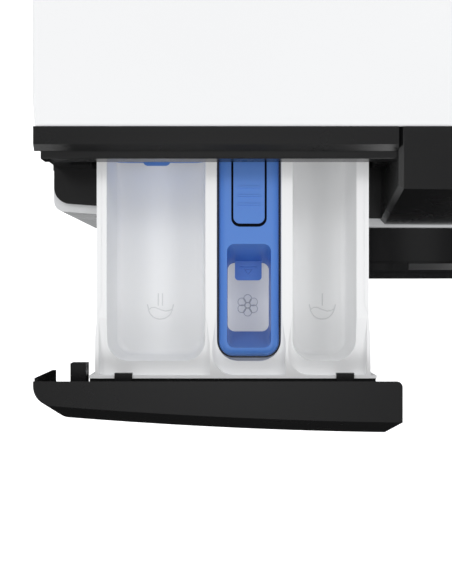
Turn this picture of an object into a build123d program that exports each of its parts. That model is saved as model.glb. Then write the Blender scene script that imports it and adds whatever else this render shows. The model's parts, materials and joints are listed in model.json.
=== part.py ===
"""A front load washing machine, in millimetres.

X runs to the right seen from the front, Y to the back and Z up. The shapes are drawn about the middle
of the cabinet, standing on the floor, with the drawer closed. The files hold them with the drawer pulled
out by drawer_open and moved back by frame_y, so that the origin is on the floor under the middle of
everything that stands there.
"""

import os
from math import asin, cos, degrees, hypot, pi, radians, sin, sqrt

from build123d import *

# ---------------------------------------------------------------- driving sizes
# Cabinet
cabinet_w = 596.0
cabinet_d = 600.0  # middle of the bowed front to the rear edge
cabinet_h = 848.0
ground_gap = 14.0  # floor to the lower edge of the panels
front_bow_r = 3600.0  # plan radius of the whole front
sheet = 1.0  # painted steel
flange = 12.0  # folded edges of the panels
panel_corner = 8.0  # rounded front corners, in plan
panel_return = 41.0  # depth of the front panel's sides

# Worktop
board_t = 16.0
frame_t = 10.0
frame_w = 22.0
worktop_edge_r = 2.5
worktop_taper = 1.4  # how far the front corners draw in
worktop_taper_run = 17.0

# Control fascia
fascia_h = 108.0
fascia_drop = 3.0  # below the top of the worktop
fascia_d = 62.0  # machine front to the fascia's back edge
fascia_lean = 18.0  # the top of the face stands back by this
fascia_inset = 2.0  # the foot of the face stands back by this
fascia_wall = 3.0
fascia_corner = 13.0  # rounded front corners, in plan
header_d = 21.0  # depth of the bar over the drawer
header_h = 29.0
header_step = 5.0  # ledge that carries the top of the drawer front
header_step_h = 6.0
header_lap = 2.3  # the drawer front's back edge stands this far ahead of the header
cheek_t = 4.0
cheek_bevel = 3.2
ear_t = 2.6  # left side wall of the drawer front
ear_out = 9.5  # how far that wall reaches behind the header's face
ear_room = 4.2  # width of the notch it closes into
ear_gap = 1.0
sill_inset = 4.0  # width of the front panel's rim left showing under the drawer front

# Plinth
plinth_h = 88.0
plinth_wall = 3.0
seam = 1.5  # open joint between outer panels

# Detergent drawer, whose parts are drawn closed and then moved out
drawer_open = 155.0
drawer_front_w = 245.2
drawer_front_wall = 2.6
front_gap = 0.8
tub_inset = 39.1  # cabinet side to the drawer tub
tub_len = 227.0
flange_t = 2.0
tub_h = 64.0
tub_wall = 2.0
side_rim = 7.6
divider = 7.7
main_w = 68.0
softener_w = 44.5
prewash_w = 44.0
pocket_front = 11.4  # flange face to the pockets
pocket_taper = 2.0
pocket_r = 15.0
pocket_floor_r = 3.8
flare = 1.2  # the tub's sides widen by this towards the flange
pocket_back = 6.5
flange_out = 5.5  # how far the front flange stands out each side
rail_w = 3.3
tab_x = -279.0  # catch at the back of the drawer front
tab_w = 11.0
tab_out = 9.3  # how far the catch stands out behind the drawer front
tab_h = 20.0
tab_z = 775.0
clip_left = -246.6
clip_right = -94.2
clip_w = 12.2
rail_line = 0.6
rail_front = 42.5  # flange face to the ends of the side rails
scoop_len = 41.5
scoop_wall = 1.3
scoop_drop = 9.0
scoop_ridge = 1.8
scoop_r = 15.0
cap_gap = 1.4
cap_front_gap = 3.6
cap_sink = 1.5
cap_plate = 12.0
cap_edge_r = 6.0
cap_corner_r = 10.3
funnel_h = 34.0
window_w = 30.3
window_len = 71.8
window_front = 20.9  # flange face to the funnel
window_foot = 48.4
window_r = 5.0
slot_w = 1.5
tongue_w = 21.5
tongue_len = 58.0
tongue_front = 105.1  # flange face to the front of the tongue's slot
tongue_t = 3.0
tongue_r = 6.0
flap_back = 154.4  # flange face to the hinge line of the liquid flap
flap_t = 2.0
housing_gap = 2.6
housing_wall = 2.0
hose_x = -128.0  # outlet to the wash tub
hose_y = -60.0
hose_r = 19.0
feed_x = -150.0  # water inlet at the back of the dispenser
feed_z = 795.0

# Controls on the fascia
display_x = 176.0
display_up = 62.0
display_w = 116.0
display_h = 46.0
knob_x = 62.0
knob_up = 54.0
knob_r = 29.0
knob_h = 19.0
knob_shaft_r = 3.0
button_x = 266.0
power_up = 74.0
start_up = 36.0
button_r = 9.0
button_proud = 2.0
button_back = 6.0
button_stroke = 1.5
board_x = 165.0
board_up = 54.0
board_w = 236.0
board_l = 76.0
board_depth = 14.0

# Base, flap and back
tray_h = 36.0
tray_t = 2.0
foot_pad_r = 22.0
foot_stem_r = 5.0
flap_door_x = 186.0
flap_door_w = 90.0
flap_door_h = 64.0
flap_door_low = 11.0
flap_door_gap = 0.6
flap_pin_r = 0.9
inlet_thread_r = 13.22  # G3/4 outside
valve_x = -232.0
valve_z = 790.0
drain_r = 9.5
drain_x = -232.0
drain_z = 700.0
cord_x = 238.0
cord_z = 700.0
cord_hole_r = 9.0
transit_r = 14.0
transit_pitch_x = 470.0
transit_low_z = 300.0
transit_high_z = 640.0
inlet_out = 12.0  # how far the thread stands out at the back
drain_out = 18.0
valve_depth = 52.0
brace_w = 26.0
brace_h = 14.0
brace_rear_y = 170.0

# Door
axis_z = 475.0  # height of the drum's and the door's axis
door_r = 250.0
door_t = 41.2
dish_depth = 10.0
dish_gap = 2.0
dish_edge = 3.0  # how much wider than the door the dish is
mouth_r = 190.0  # hole in the front panel
bowl_r = 152.0
bowl_depth = 104.0
bowl_t = 4.0
glass_r = 184.0
inlay_w = 64.0
gasket_t = 2.5
glass_t = 3.4
door_hinge_in = 4.0  # hinge axis inside the door's edge
door_hinge_ahead = 32.0  # hinge axis ahead of the dish
knuckle_r = 4.6
knuckle_h = 20.0
hinge_half = 42.0  # middle of the hinge to the ends of its pins
hinge_slack = 1.0
latch_x = 203.0
latch_half = 12.0
grip_x = 214.0
grip_half = 50.0
pin_r = 2.0
pin_gap = 0.05

# Wash unit
drum_r = 240.0
drum_len = 340.0
drum_front_gap = 65.0  # front panel's dish to the tub's mouth
tub_gap = 16.0
collar_r = 175.0
wash_tub_t = 5.0
drum_sheet = 1.0
drum_mouth_r = 172.0
shaft_r = 15.0
pulley_r = 150.0
motor_x = 60.0
motor_z = 118.0
motor_r = 66.0
motor_len = 128.0
motor_shaft_r = 6.0
belt_w = 14.0
belt_t = 3.0
belt_gap = 0.15
pulley_w = 18.0
sump_half = 60.0
sump_depth = 22.0
sump_hose_r = 17.0
sump_x = 38.0
sump_y = -150.0
pump_x = 186.0
pump_z = 58.0
pump_r = 30.0
pump_back_y = -120.0
bearing_r = 31.0
motor_pulley_r = 11.0
damper_r = 14.0
damper_rod_r = 6.0
damper_x = 150.0
damper_y = -60.0
damper_top = 190.0
spring_x = 205.0
spring_y = 30.0
spring_r = 12.0
spring_wire = 2.2
spring_turns = 12
bounce_room = 10.0  # the unit's travel up and down

# ---------------------------------------------------------------- values that follow
half_w = cabinet_w / 2
front_y = -cabinet_d / 2
back_y = cabinet_d / 2
board_z = cabinet_h - board_t
worktop_z = board_z - frame_t
fascia_top = cabinet_h - fascia_drop
fascia_bottom = fascia_top - fascia_h
fascia_back_y = front_y + fascia_d
recess_y = fascia_back_y - header_d
ledge_z = fascia_top - header_step_h
header_z = fascia_top - header_h
recess_x = -half_w + drawer_front_w + front_gap
cheek_x = recess_x - cheek_bevel
panel_back_y = front_y + panel_return
plinth_top = ground_gap + plinth_h
panel_z = plinth_top + seam
panel_top = fascia_bottom - seam
rear_y = back_y - 2.0  # outside of the rear folds

tub_w = 2 * side_rim + 2 * divider + main_w + softener_w + prewash_w
tub_left = -half_w + tub_inset
tub_right = tub_left + tub_w
flange_y = recess_y + 6.6
tub_y = flange_y + flange_t
tub_back_y = flange_y + tub_len
rim_z = header_z - 4.0
tub_z = rim_z - tub_h
flap_pin_z = rim_z - 8.0
main_x = tub_left + side_rim - 0.8
softener_x = main_x + main_w + divider
prewash_x = softener_x + softener_w + divider
opening_left = tub_left - flange_out - 2.6
opening_right = tub_right + flange_out + 2.6
housing_y = fascia_back_y + 0.5
housing_back_y = tub_back_y + 6.0
housing_z = tub_z - 3.0 - housing_wall

dish_y = front_y + dish_depth
dish_r = door_r + dish_edge
ring_y = dish_y - dish_gap
door_front_y = ring_y - door_t
hinge_x = -door_r + door_hinge_in
hinge_y = dish_y - door_hinge_ahead
bowl_y = ring_y - 10.0
latch_y = ring_y - 8.0
notch_x = hinge_x + knuckle_r + hinge_slack - 0.4
tub_mouth_y = dish_y + drum_front_gap
wash_front_y = tub_mouth_y + 12.0
wash_r = drum_r + tub_gap  # inside of the wash tub
wash_out_r = wash_r + wash_tub_t
drum_y = wash_front_y + wash_tub_t + 10.0
drum_back_y = drum_y + drum_len
wash_back_y = drum_back_y + 33.0
seam_y = -2.0
hub_y = wash_back_y + wash_tub_t + 25.0
pulley_y = hub_y + 10.0
tray_z = ground_gap + 1.0
valve_y = rear_y - valve_depth
filter_y = front_y + 38.0
motor_y = pulley_y - 22.0 - motor_len
motor_mount_z = motor_z + motor_r + 6.0
damper_rod_top = axis_z - sqrt(wash_out_r**2 - damper_x**2) - 20.0
spring_low = axis_z + sqrt(wash_out_r**2 - spring_x**2) + 30.0
hose_top = axis_z + sqrt(wash_out_r**2 - hose_x**2) + 22.0
machine_front_y = front_y + fascia_inset + 1.4 - drawer_open
machine_back_y = rear_y + sheet + drain_out
frame_y = -(machine_front_y + machine_back_y) / 2
weight_top = worktop_z - sheet - brace_h - 3.0 - bounce_room - 6.0
foot_points = [(x, y) for x in (-252.0, 252.0) for y in (-222.0, 262.0)]
transit_points = [
    (x * transit_pitch_x / 2, z) for x in (-1, 1) for z in (transit_low_z, transit_high_z)
]

drum_plane = Plane(origin=(0, 0, axis_z), x_dir=(0, 1, 0), z_dir=(1, 0, 0))
drum_axis = Axis((0, 0, axis_z), (0, 1, 0))


# ---------------------------------------------------------------- shared drawing
def at_z(z):
    """A level plane: local x is X and local y is Y."""
    return Plane.XY.offset(z)


def facing_front(y):
    """An upright plane across the machine: local x is X, local y is Z, and extrude goes to the front."""
    return Plane.XZ.offset(-y)


def facing_right(x):
    """An upright plane along the machine: local x is Y, local y is Z, and extrude goes to the right."""
    return Plane.YZ.offset(x)


def block(low, high, mode=Mode.ADD):
    """A box from one corner to the opposite one."""
    size = [abs(b - a) for a, b in zip(low, high)]
    middle = tuple((a + b) / 2 for a, b in zip(low, high))
    with Locations(middle):
        Box(*size, mode=mode)


def rod(start, end, radius, mode=Mode.ADD):
    """A round bar between two points."""
    line = Vector(*end) - Vector(*start)
    with BuildPart(mode=Mode.PRIVATE) as bar:
        with BuildSketch(Plane(origin=start, z_dir=line)):
            Circle(radius)
        extrude(amount=line.length)
    add(bar.part, mode=mode)


def bow(apex_y, x):
    """Y of a bowed front at x, where its middle is at apex_y."""
    return apex_y + front_bow_r - sqrt(front_bow_r**2 - x**2)


def plan_outline(apex_y, rear_y, half, corner):
    """The plan of a full-width front piece: square at the back, bowed in front, corners rounded."""
    side_y = bow(apex_y, half)
    with BuildLine() as outline:
        face_arc = ThreePointArc((-half, side_y), (0, apex_y), (half, side_y))
        Polyline(face_arc @ 1, (half, rear_y), (-half, rear_y), face_arc @ 0)
    make_face(outline.edges())
    fillet(vertices().group_by(Axis.Y)[0], corner)


def turned(outline, corner=0.0, arc=360):
    """A turned piece on the drum's axis, from the (y, radius) points of its closed outline."""
    with BuildPart() as piece:
        with BuildSketch(drum_plane):
            with BuildLine():
                Polyline(*outline, close=True)
            make_face()
            if corner:
                fillet(vertices(), corner)
        revolve(axis=drum_axis, revolution_arc=arc)
    return piece


def thin_turned(line, wall, bend=0.0):
    """A turned sheet on the drum's axis: wall thick, to the left of the (y, radius) line."""
    with BuildPart() as piece:
        with BuildSketch(drum_plane):
            with BuildLine() as skin:
                if bend:
                    FilletPolyline(*line, radius=bend)
                else:
                    Polyline(*line)
                offset(amount=wall, side=Side.LEFT)
            make_face()
        revolve(axis=drum_axis)
    return piece


def save(name, piece):
    """Labels a finished piece and writes its STEP file, in the frame of the whole machine."""
    piece.part = piece.part.moved(Location((0, frame_y, 0)))
    piece.part.label = name
    export_step(piece.part, f"parts/{name}.step")


def move_out(piece):
    """Shifts a drawer piece from closed to where it stands pulled out."""
    piece.part = piece.part.moved(Location((0, -drawer_open, 0)))
    return piece


os.makedirs("parts", exist_ok=True)


# ---------------------------------------------------------------- sheet metal
def side_panel(side):
    """A pressed side, -1 left or 1 right: outer sheet, folded edges and a wide shallow pressing."""
    skin = side * half_w
    inside = side * (half_w - sheet)
    fold = side * (half_w - flange)
    start_y = panel_back_y + 0.5
    with BuildPart() as panel:
        with BuildSketch(facing_right(skin)):
            with BuildLine():
                Polyline(
                    (start_y, ground_gap),
                    (rear_y, ground_gap),
                    (rear_y, worktop_z),
                    (housing_y, worktop_z),
                    (housing_y, panel_top),
                    (start_y, panel_top),
                    close=True,
                )
            make_face()
        extrude(amount=-side * sheet)
        block((inside, start_y, ground_gap), (fold, start_y + sheet, panel_top))
        block((inside, rear_y - sheet, ground_gap), (fold, rear_y, worktop_z))
        block((inside, start_y, ground_gap), (fold, rear_y, ground_gap + sheet))
        block((inside, housing_y, worktop_z - sheet), (fold, rear_y, worktop_z))
        with BuildSketch(facing_right(skin)):
            with Locations((20.0, axis_z - 20.0)):
                RectangleRounded(400.0, 560.0, 60.0)
        extrude(amount=-side * (sheet + 3.0))
        with BuildSketch(facing_right(skin)):
            with Locations((20.0, axis_z - 20.0)):
                RectangleRounded(400.0 - 2 * sheet, 560.0 - 2 * sheet, 60.0 - sheet)
        extrude(amount=-side * 3.0, mode=Mode.SUBTRACT)
    return panel


def full_front():
    """The solid whose skin the front panel follows."""
    with BuildPart() as form:
        with BuildSketch(at_z(panel_z)):
            plan_outline(front_y, panel_back_y, half_w, panel_corner)
        extrude(amount=panel_top - panel_z)
    return form


def make_front_panel():
    """Bowed white front with the door's flat dish, its rolled mouth and the slots for hinge and latch."""
    with BuildPart(mode=Mode.PRIVATE) as dish:
        with BuildSketch(facing_front(dish_y + sheet)):
            with Locations((0, axis_z)):
                Circle(dish_r + sheet)
        extrude(amount=dish_depth + sheet)
        add(full_front().part, mode=Mode.INTERSECT)
    with BuildPart() as panel:
        add(full_front().part)
        with BuildSketch(at_z(panel_z + sheet)):
            plan_outline(front_y + sheet, panel_back_y + 1.0, half_w - sheet, panel_corner - sheet)
        extrude(amount=panel_top - panel_z - 2 * sheet, mode=Mode.SUBTRACT)
        block(
            (-half_w + flange, front_y + 2 * flange, panel_z - 1.0),
            (half_w - flange, panel_back_y + 1.0, panel_top + 1.0),
            mode=Mode.SUBTRACT,
        )
        add(dish.part)
        with BuildSketch(facing_front(dish_y)):
            with Locations((0, axis_z)):
                Circle(dish_r)
        extrude(amount=dish_depth + 1.0, mode=Mode.SUBTRACT)
        with BuildSketch(facing_front(dish_y + sheet)):
            with Locations((0, axis_z)):
                Circle(mouth_r)
        extrude(amount=dish_depth, mode=Mode.SUBTRACT)
        with BuildSketch(facing_front(dish_y + 8.0)):
            with Locations((0, axis_z)):
                Circle(mouth_r + sheet)
                Circle(mouth_r, mode=Mode.SUBTRACT)
        extrude(amount=8.0)
        for middle in (-1, 1):
            arm_z = axis_z + middle * (hinge_half - knuckle_h / 2)
            block(
                (hinge_x - knuckle_r - 0.6, dish_y - 4.0, arm_z - knuckle_h / 2 - 0.6),
                (hinge_x + knuckle_r + 0.6, dish_y + 2.0, arm_z + knuckle_h / 2 + 0.6),
                mode=Mode.SUBTRACT,
            )
        block(
            (latch_x - 9.0, dish_y - 1.0, axis_z - 15.0),
            (latch_x + 13.0, dish_y + 2.0, axis_z + 15.0),
            mode=Mode.SUBTRACT,
        )
    return panel


def make_rear_panel():
    """Back sheet with a pressed field and the holes for water, drain, cord and transit bolts."""
    with BuildPart() as panel:
        block((-half_w + 0.5, rear_y, ground_gap + 2), (half_w - 0.5, rear_y + sheet, worktop_z - 0.5))
        with BuildSketch(facing_front(rear_y + sheet)):
            with Locations((0, axis_z - 55.0)):
                RectangleRounded(430.0, 520.0, 50.0)
        extrude(amount=sheet + 6.0)
        with BuildSketch(facing_front(rear_y + sheet)):
            with Locations((0, axis_z - 55.0)):
                RectangleRounded(430.0 - 2 * sheet, 520.0 - 2 * sheet, 49.0)
        extrude(amount=6.0, mode=Mode.SUBTRACT)
        with BuildSketch(facing_front(rear_y + sheet)):
            with Locations((valve_x, valve_z)):
                Circle(inlet_thread_r + 1.3)
            with Locations((drain_x, drain_z)):
                Circle(drain_r + 1.0)
            with Locations((cord_x, cord_z)):
                Circle(cord_hole_r)
            with Locations(*transit_points):
                Circle(transit_r)
        extrude(amount=10.0, both=True, mode=Mode.SUBTRACT)
    return panel


def make_base_tray():
    """Floor tray that the feet, the dampers and the pump stand in."""
    side = half_w - sheet - 0.3
    with BuildPart() as tray:
        block((-side, panel_back_y + 5, tray_z), (side, rear_y - sheet - 0.5, tray_z + tray_h))
        block(
            (-side + tray_t, panel_back_y + 5 + tray_t, tray_z + tray_t),
            (side - tray_t, rear_y - sheet - 0.5 - tray_t, tray_z + tray_h + 1),
            mode=Mode.SUBTRACT,
        )
        with BuildSketch(at_z(tray_z)):
            with Locations(*foot_points):
                Circle(foot_pad_r - 4.0)
        extrude(amount=10.0)
        with BuildSketch(at_z(tray_z)):
            with Locations(*foot_points):
                Circle(foot_stem_r + 0.3)
        extrude(amount=12.0, mode=Mode.SUBTRACT)
        block(
            (pump_x - pump_r - 3.0, panel_back_y, tray_z + tray_t + 4.0),
            (pump_x + pump_r + 3.0, panel_back_y + 10.0, tray_z + tray_h + 1),
            mode=Mode.SUBTRACT,
        )
    return tray


def make_top_braces():
    """Two channel bars across the cabinet; the drum unit hangs from the front one."""
    top = worktop_z - sheet - 0.2
    side = half_w - sheet
    with BuildPart() as braces:
        for y in (spring_y, brace_rear_y):
            block((-side, y - brace_w / 2, top - brace_h), (side, y + brace_w / 2, top))
            block(
                (-side - 1, y - brace_w / 2 + 1.5, top - brace_h - 1),
                (side + 1, y + brace_w / 2 - 1.5, top - 1.5),
                mode=Mode.SUBTRACT,
            )
            for end in (-1, 1):
                block(
                    (end * side, y - brace_w / 2, top - brace_h),
                    (end * (side - 1.5), y + brace_w / 2, top),
                )
        for end in (-1, 1):
            block(
                (end * spring_x - 12.0, spring_y - brace_w / 2, top - brace_h - 1.5),
                (end * spring_x + 12.0, spring_y + brace_w / 2, top - brace_h),
            )
    return braces


def make_worktop():
    """The laminated board: its front corners draw in slightly and its upper edge is rounded."""
    with BuildPart() as board:
        with BuildSketch(at_z(board_z)):
            with BuildLine():
                Polyline(
                    (-half_w + worktop_taper, fascia_back_y),
                    (half_w - worktop_taper, fascia_back_y),
                    (half_w, fascia_back_y + worktop_taper_run),
                    (half_w, back_y),
                    (-half_w, back_y),
                    (-half_w, fascia_back_y + worktop_taper_run),
                    close=True,
                )
            make_face()
            turns = [v for v in vertices() if abs(v.Y - fascia_back_y - worktop_taper_run) < 0.1]
            fillet(turns, 90.0)
        extrude(amount=board_t)
        fillet(board.faces().sort_by(Axis.Z)[-1].edges(), worktop_edge_r)
    return board


def make_worktop_frame():
    """The dark frame under the board."""
    side = half_w - 2.0
    front = fascia_back_y + 0.7
    with BuildPart() as frame:
        block((-side, front, worktop_z), (side, rear_y, board_z))
        block(
            (-side + frame_w, front + frame_w, worktop_z - 1),
            (side - frame_w, rear_y - frame_w, board_z + 1),
            mode=Mode.SUBTRACT,
        )
    return frame


def plinth_form(inset=0.0):
    """The solid whose skin the plinth follows, drawn in all round by inset."""
    with BuildPart() as form:
        with BuildSketch(at_z(ground_gap + inset)):
            back = panel_back_y - 3.0 + inset * 2
            plan_outline(front_y + 2.0 + inset, back, half_w - inset, panel_corner - inset)
        extrude(amount=plinth_h - 2 * inset)
    return form


def plinth_face(up, depth=0.0):
    """A plane on the plinth at the middle of the filter flap."""
    turn = flap_door_x / sqrt(front_bow_r**2 - flap_door_x**2)
    outward = Vector(turn, -1, 0).normalized()
    point = Vector(flap_door_x, bow(front_y + 2.0, flap_door_x), ground_gap + up)
    return Plane(origin=point - outward * depth, x_dir=(1, turn, 0), z_dir=outward)


def make_plinth():
    """Kick plate with the opening for the filter flap and the holes for its pins."""
    with BuildPart() as plinth:
        add(plinth_form().part)
        add(plinth_form(plinth_wall).part, mode=Mode.SUBTRACT)
        with BuildSketch(plinth_face(flap_door_low)):
            with Locations((0, flap_door_h / 2)):
                Rectangle(flap_door_w + 2 * flap_door_gap, flap_door_h + 2 * flap_door_gap)
        extrude(amount=20.0, both=True, mode=Mode.SUBTRACT)
        pin = plinth_face(flap_door_low + 3.0, plinth_wall / 2)
        half = pin.x_dir * (flap_door_w / 2 + flap_door_gap + 2.6)
        rod(pin.origin - half, pin.origin + half, flap_pin_r + pin_gap, mode=Mode.SUBTRACT)
    return plinth


def make_filter_flap():
    """The small door over the drain filter, on two pins near its lower edge."""
    with BuildPart(mode=Mode.PRIVATE) as field:
        with BuildSketch(plinth_face(flap_door_low)):
            with Locations((0, flap_door_h / 2)):
                Rectangle(flap_door_w, flap_door_h)
                with Locations((0, flap_door_h / 2)):
                    SlotOverall(26.0, 9.0, mode=Mode.SUBTRACT)
        extrude(amount=20.0, both=True)
    with BuildPart() as flap:
        add(plinth_form().part)
        add(plinth_form(plinth_wall).part, mode=Mode.SUBTRACT)
        add(field.part, mode=Mode.INTERSECT)
        pin = plinth_face(flap_door_low + 3.0, plinth_wall / 2)
        half = pin.x_dir * (flap_door_w / 2 + flap_door_gap + 2.2)
        rod(pin.origin - half, pin.origin + half, flap_pin_r)
    return flap


# ---------------------------------------------------------------- control fascia
def fascia_form(inset=0.0, rear=None):
    """The leaning, bowed solid of the whole fascia, drawn in by inset."""
    rear = fascia_back_y if rear is None else rear
    corner = fascia_corner - inset
    low, high = fascia_bottom + inset, fascia_top - inset
    lean = fascia_lean / fascia_h
    with BuildPart() as form:
        for z in (low, high):
            with BuildSketch(at_z(z)):
                apex = front_y + fascia_inset + inset + lean * (z - fascia_bottom)
                plan_outline(apex, rear, half_w - inset, corner)
        loft(ruled=True)
    return form


def on_face(x, up, depth=0.0):
    """A plane on the fascia's face, up from its foot; depth sets it behind the face."""
    lean = fascia_lean / fascia_h
    turn = x / sqrt(front_bow_r**2 - x**2)
    outward = Vector(turn, -1, lean).normalized()
    y = bow(front_y + fascia_inset, x) + lean * up
    return Plane(origin=Vector(x, y, fascia_bottom + up) - outward * depth, x_dir=(1, turn, 0), z_dir=outward)


def right_section():
    """The fascia to the right of the drawer, its edges towards the drawer bevelled."""
    with BuildPart() as section:
        add(fascia_form().part)
        block(
            (-half_w - 1, front_y - 1, fascia_bottom - 1),
            (cheek_x, fascia_back_y + 1, fascia_top + 1),
            mode=Mode.SUBTRACT,
        )
        wall = section.faces().sort_by(Axis.X)[0]
        upper = wall.edges().sort_by(Axis.Z)[-1]
        front = wall.edges().sort_by(Axis.Y)[0]
        chamfer([upper, front], cheek_bevel)
    return section


def header():
    """The bar over the drawer, with the bevel and ledge that the drawer front closes against."""
    step_y = recess_y + header_step
    with BuildPart() as bar:
        with BuildSketch(facing_right(-half_w)):
            with BuildLine():
                Polyline(
                    (fascia_back_y, fascia_top),
                    (step_y + header_step - 1.0, fascia_top),
                    (step_y, ledge_z + 0.8),
                    (step_y, ledge_z),
                    (recess_y, ledge_z),
                    (recess_y, header_z),
                    (fascia_back_y, header_z),
                    close=True,
                )
            make_face()
            lip = [v for v in vertices() if abs(v.X - recess_y) < 0.01 and v.Y > header_z + 1]
            fillet(lip, 1.4)
        extrude(amount=cheek_x + half_w)
        block(
            (-half_w - 1, recess_y - 1, header_z - 1),
            (-half_w + ear_room, recess_y + ear_out, ledge_z),
            mode=Mode.SUBTRACT,
        )
    return bar


def sill():
    """Floor of the drawer's recess, set back to leave a rim of the front panel."""
    with BuildPart() as floor:
        with BuildSketch(at_z(fascia_bottom)):
            apex = front_y + fascia_inset + sill_inset
            plan_outline(apex, fascia_back_y, half_w - 0.6, fascia_corner - 1.0)
        extrude(amount=fascia_wall)
        block(
            (cheek_x, front_y - 1, fascia_bottom - 1),
            (half_w + 1, fascia_back_y + 1, fascia_bottom + fascia_wall + 1),
            mode=Mode.SUBTRACT,
        )
    return floor


def make_fascia():
    """Black fascia: hollow right section, header bar, left cheek, recess floor and back wall."""
    wall = fascia_wall
    with BuildPart() as fascia:
        add(right_section().part)
        with BuildPart(mode=Mode.PRIVATE) as hollow:
            add(fascia_form(wall, fascia_back_y + 1).part)
            block(
                (-half_w - 1, front_y - 1, fascia_bottom - 1),
                (cheek_x + cheek_t, fascia_back_y + 2, fascia_top + 1),
                mode=Mode.SUBTRACT,
            )
        add(hollow.part, mode=Mode.SUBTRACT)
        add(header().part)
        block(
            (-half_w + ear_room + wall, recess_y + wall, header_z + wall),
            (cheek_x, fascia_back_y + 1, ledge_z - wall),
            mode=Mode.SUBTRACT,
        )
        add(sill().part)
        block((-half_w, recess_y + 1, fascia_bottom), (-half_w + wall, fascia_back_y, header_z))
        block((-half_w, recess_y + 2, fascia_bottom), (cheek_x, recess_y + 2 + wall, header_z))
        block(
            (opening_left, recess_y, tub_z - 7.0),
            (opening_right, fascia_back_y + 1, header_z),
            mode=Mode.SUBTRACT,
        )
        block(
            (tab_x - 2.0, recess_y, tab_z - 2.0),
            (tab_x + tab_w + 2.0, recess_y + 8.0, tab_z + tab_h + 2.0),
            mode=Mode.SUBTRACT,
        )
        block(
            (-half_w - 1, recess_y - 1, fascia_bottom + wall),
            (-half_w + ear_room, recess_y + ear_out, header_z + 1),
            mode=Mode.SUBTRACT,
        )
        for x, up, radius in ((knob_x, knob_up, knob_shaft_r + 0.5),):
            with BuildSketch(on_face(x, up)):
                Circle(radius)
            extrude(amount=-8.0, mode=Mode.SUBTRACT)
        for up in (power_up, start_up):
            with BuildSketch(on_face(button_x, up)):
                Circle(button_r + 0.4)
            extrude(amount=-8.0, mode=Mode.SUBTRACT)
        with BuildSketch(on_face(display_x, display_up, 1.4)):
            RectangleRounded(display_w + 0.6, display_h + 0.6, 4.3)
        extrude(amount=4.0, mode=Mode.SUBTRACT)
        with BuildSketch(on_face(display_x, display_up)):
            RectangleRounded(display_w - 8.0, display_h - 8.0, 3.0)
        extrude(amount=-8.0, mode=Mode.SUBTRACT)
        with BuildSketch(on_face(board_x, board_up, board_depth)):
            with Locations((6 - board_w / 2, 30.0), (6 - board_w / 2, -30.0), (board_w / 2 - 6, 0)):
                Circle(3.5)
        extrude(amount=board_depth - wall - 1.0)
    return fascia


def make_display():
    """The dark window over the display and its touch fields."""
    with BuildPart() as window:
        with BuildSketch(on_face(display_x, display_up, 1.4)):
            RectangleRounded(display_w, display_h, 4.0)
        extrude(amount=1.4)
        chamfer(window.faces().sort_by(Axis.Y)[0].edges(), 0.3)
    return window


def make_control_board():
    """Circuit board with the display block, the knob's encoder and two push switches."""
    with BuildPart() as board:
        with BuildSketch(on_face(board_x, board_up, board_depth + 1.6)):
            RectangleRounded(board_w, board_l, 3.0)
        extrude(amount=1.6)
        with BuildSketch(on_face(display_x, display_up, board_depth)):
            Rectangle(display_w - 12.0, display_h - 12.0)
        extrude(amount=6.0)
        with BuildSketch(on_face(knob_x, knob_up, board_depth)):
            Rectangle(14.0, 14.0)
        extrude(amount=6.0)
        with BuildSketch(on_face(knob_x, knob_up, board_depth - 0.6)):
            Circle(knob_shaft_r + pin_gap)
        extrude(amount=8.0, mode=Mode.SUBTRACT)
        for up in (power_up, start_up):
            with BuildSketch(on_face(button_x, up, board_depth)):
                Rectangle(7.0, 7.0)
            extrude(amount=board_depth - button_back - button_stroke - 0.4)
    return board


def make_knob():
    """The programme knob: ribbed cup with a pointer notch, on a shaft that reaches the encoder."""
    with BuildPart() as knob:
        with BuildSketch(on_face(knob_x, knob_up, -1.2)):
            Circle(knob_r)
        extrude(amount=knob_h)
        crown = knob.faces().sort_by(Axis.Y)[0]
        fillet(crown.edges(), 2.0)
        with BuildSketch(on_face(knob_x, knob_up, -1.2)):
            Circle(knob_r - 2.5)
            Circle(8.0, mode=Mode.SUBTRACT)
        extrude(amount=knob_h - 3.0, mode=Mode.SUBTRACT)
        with BuildSketch(on_face(knob_x, knob_up, board_depth - 0.8)):
            Circle(knob_shaft_r)
        extrude(amount=board_depth + 2.0)
        with BuildSketch(on_face(knob_x, knob_up, -knob_h - 1.8)):
            with Locations((0, knob_r - 5.0)):
                SlotCenterToCenter(5.0, 1.8, rotation=90)
        extrude(amount=1.6, mode=Mode.SUBTRACT)
    return knob


def make_button(up):
    """A push button: cap, stem and the collar that keeps it behind the fascia."""
    with BuildPart() as button:
        with BuildSketch(on_face(button_x, up, button_back)):
            Circle(button_r)
        extrude(amount=button_back + button_proud)
        cap = button.faces().sort_by(Axis.Y)[0]
        fillet(cap.edges(), 1.0)
        with BuildSketch(on_face(button_x, up, button_back)):
            Circle(button_r + 1.8)
        extrude(amount=1.6)
    return button


# ---------------------------------------------------------------- detergent drawer, drawn closed
def pocket(x, width):
    """The space of one compartment: upright rounded walls that draw in, and a rounded floor."""
    with BuildPart() as space:
        with BuildSketch(at_z(rim_z)):
            low = flange_y + pocket_front
            high = tub_back_y - pocket_back
            with Locations((x + width / 2, (low + high) / 2)):
                Rectangle(width, high - low)
            fillet(vertices().group_by(Axis.Y)[0], pocket_r)
            fillet(vertices().group_by(Axis.Y)[-1], 8.0)
        extrude(amount=-(tub_h - tub_wall), taper=pocket_taper)
        fillet(space.faces().sort_by(Axis.Z)[0].edges(), pocket_floor_r)
    return space


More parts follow.
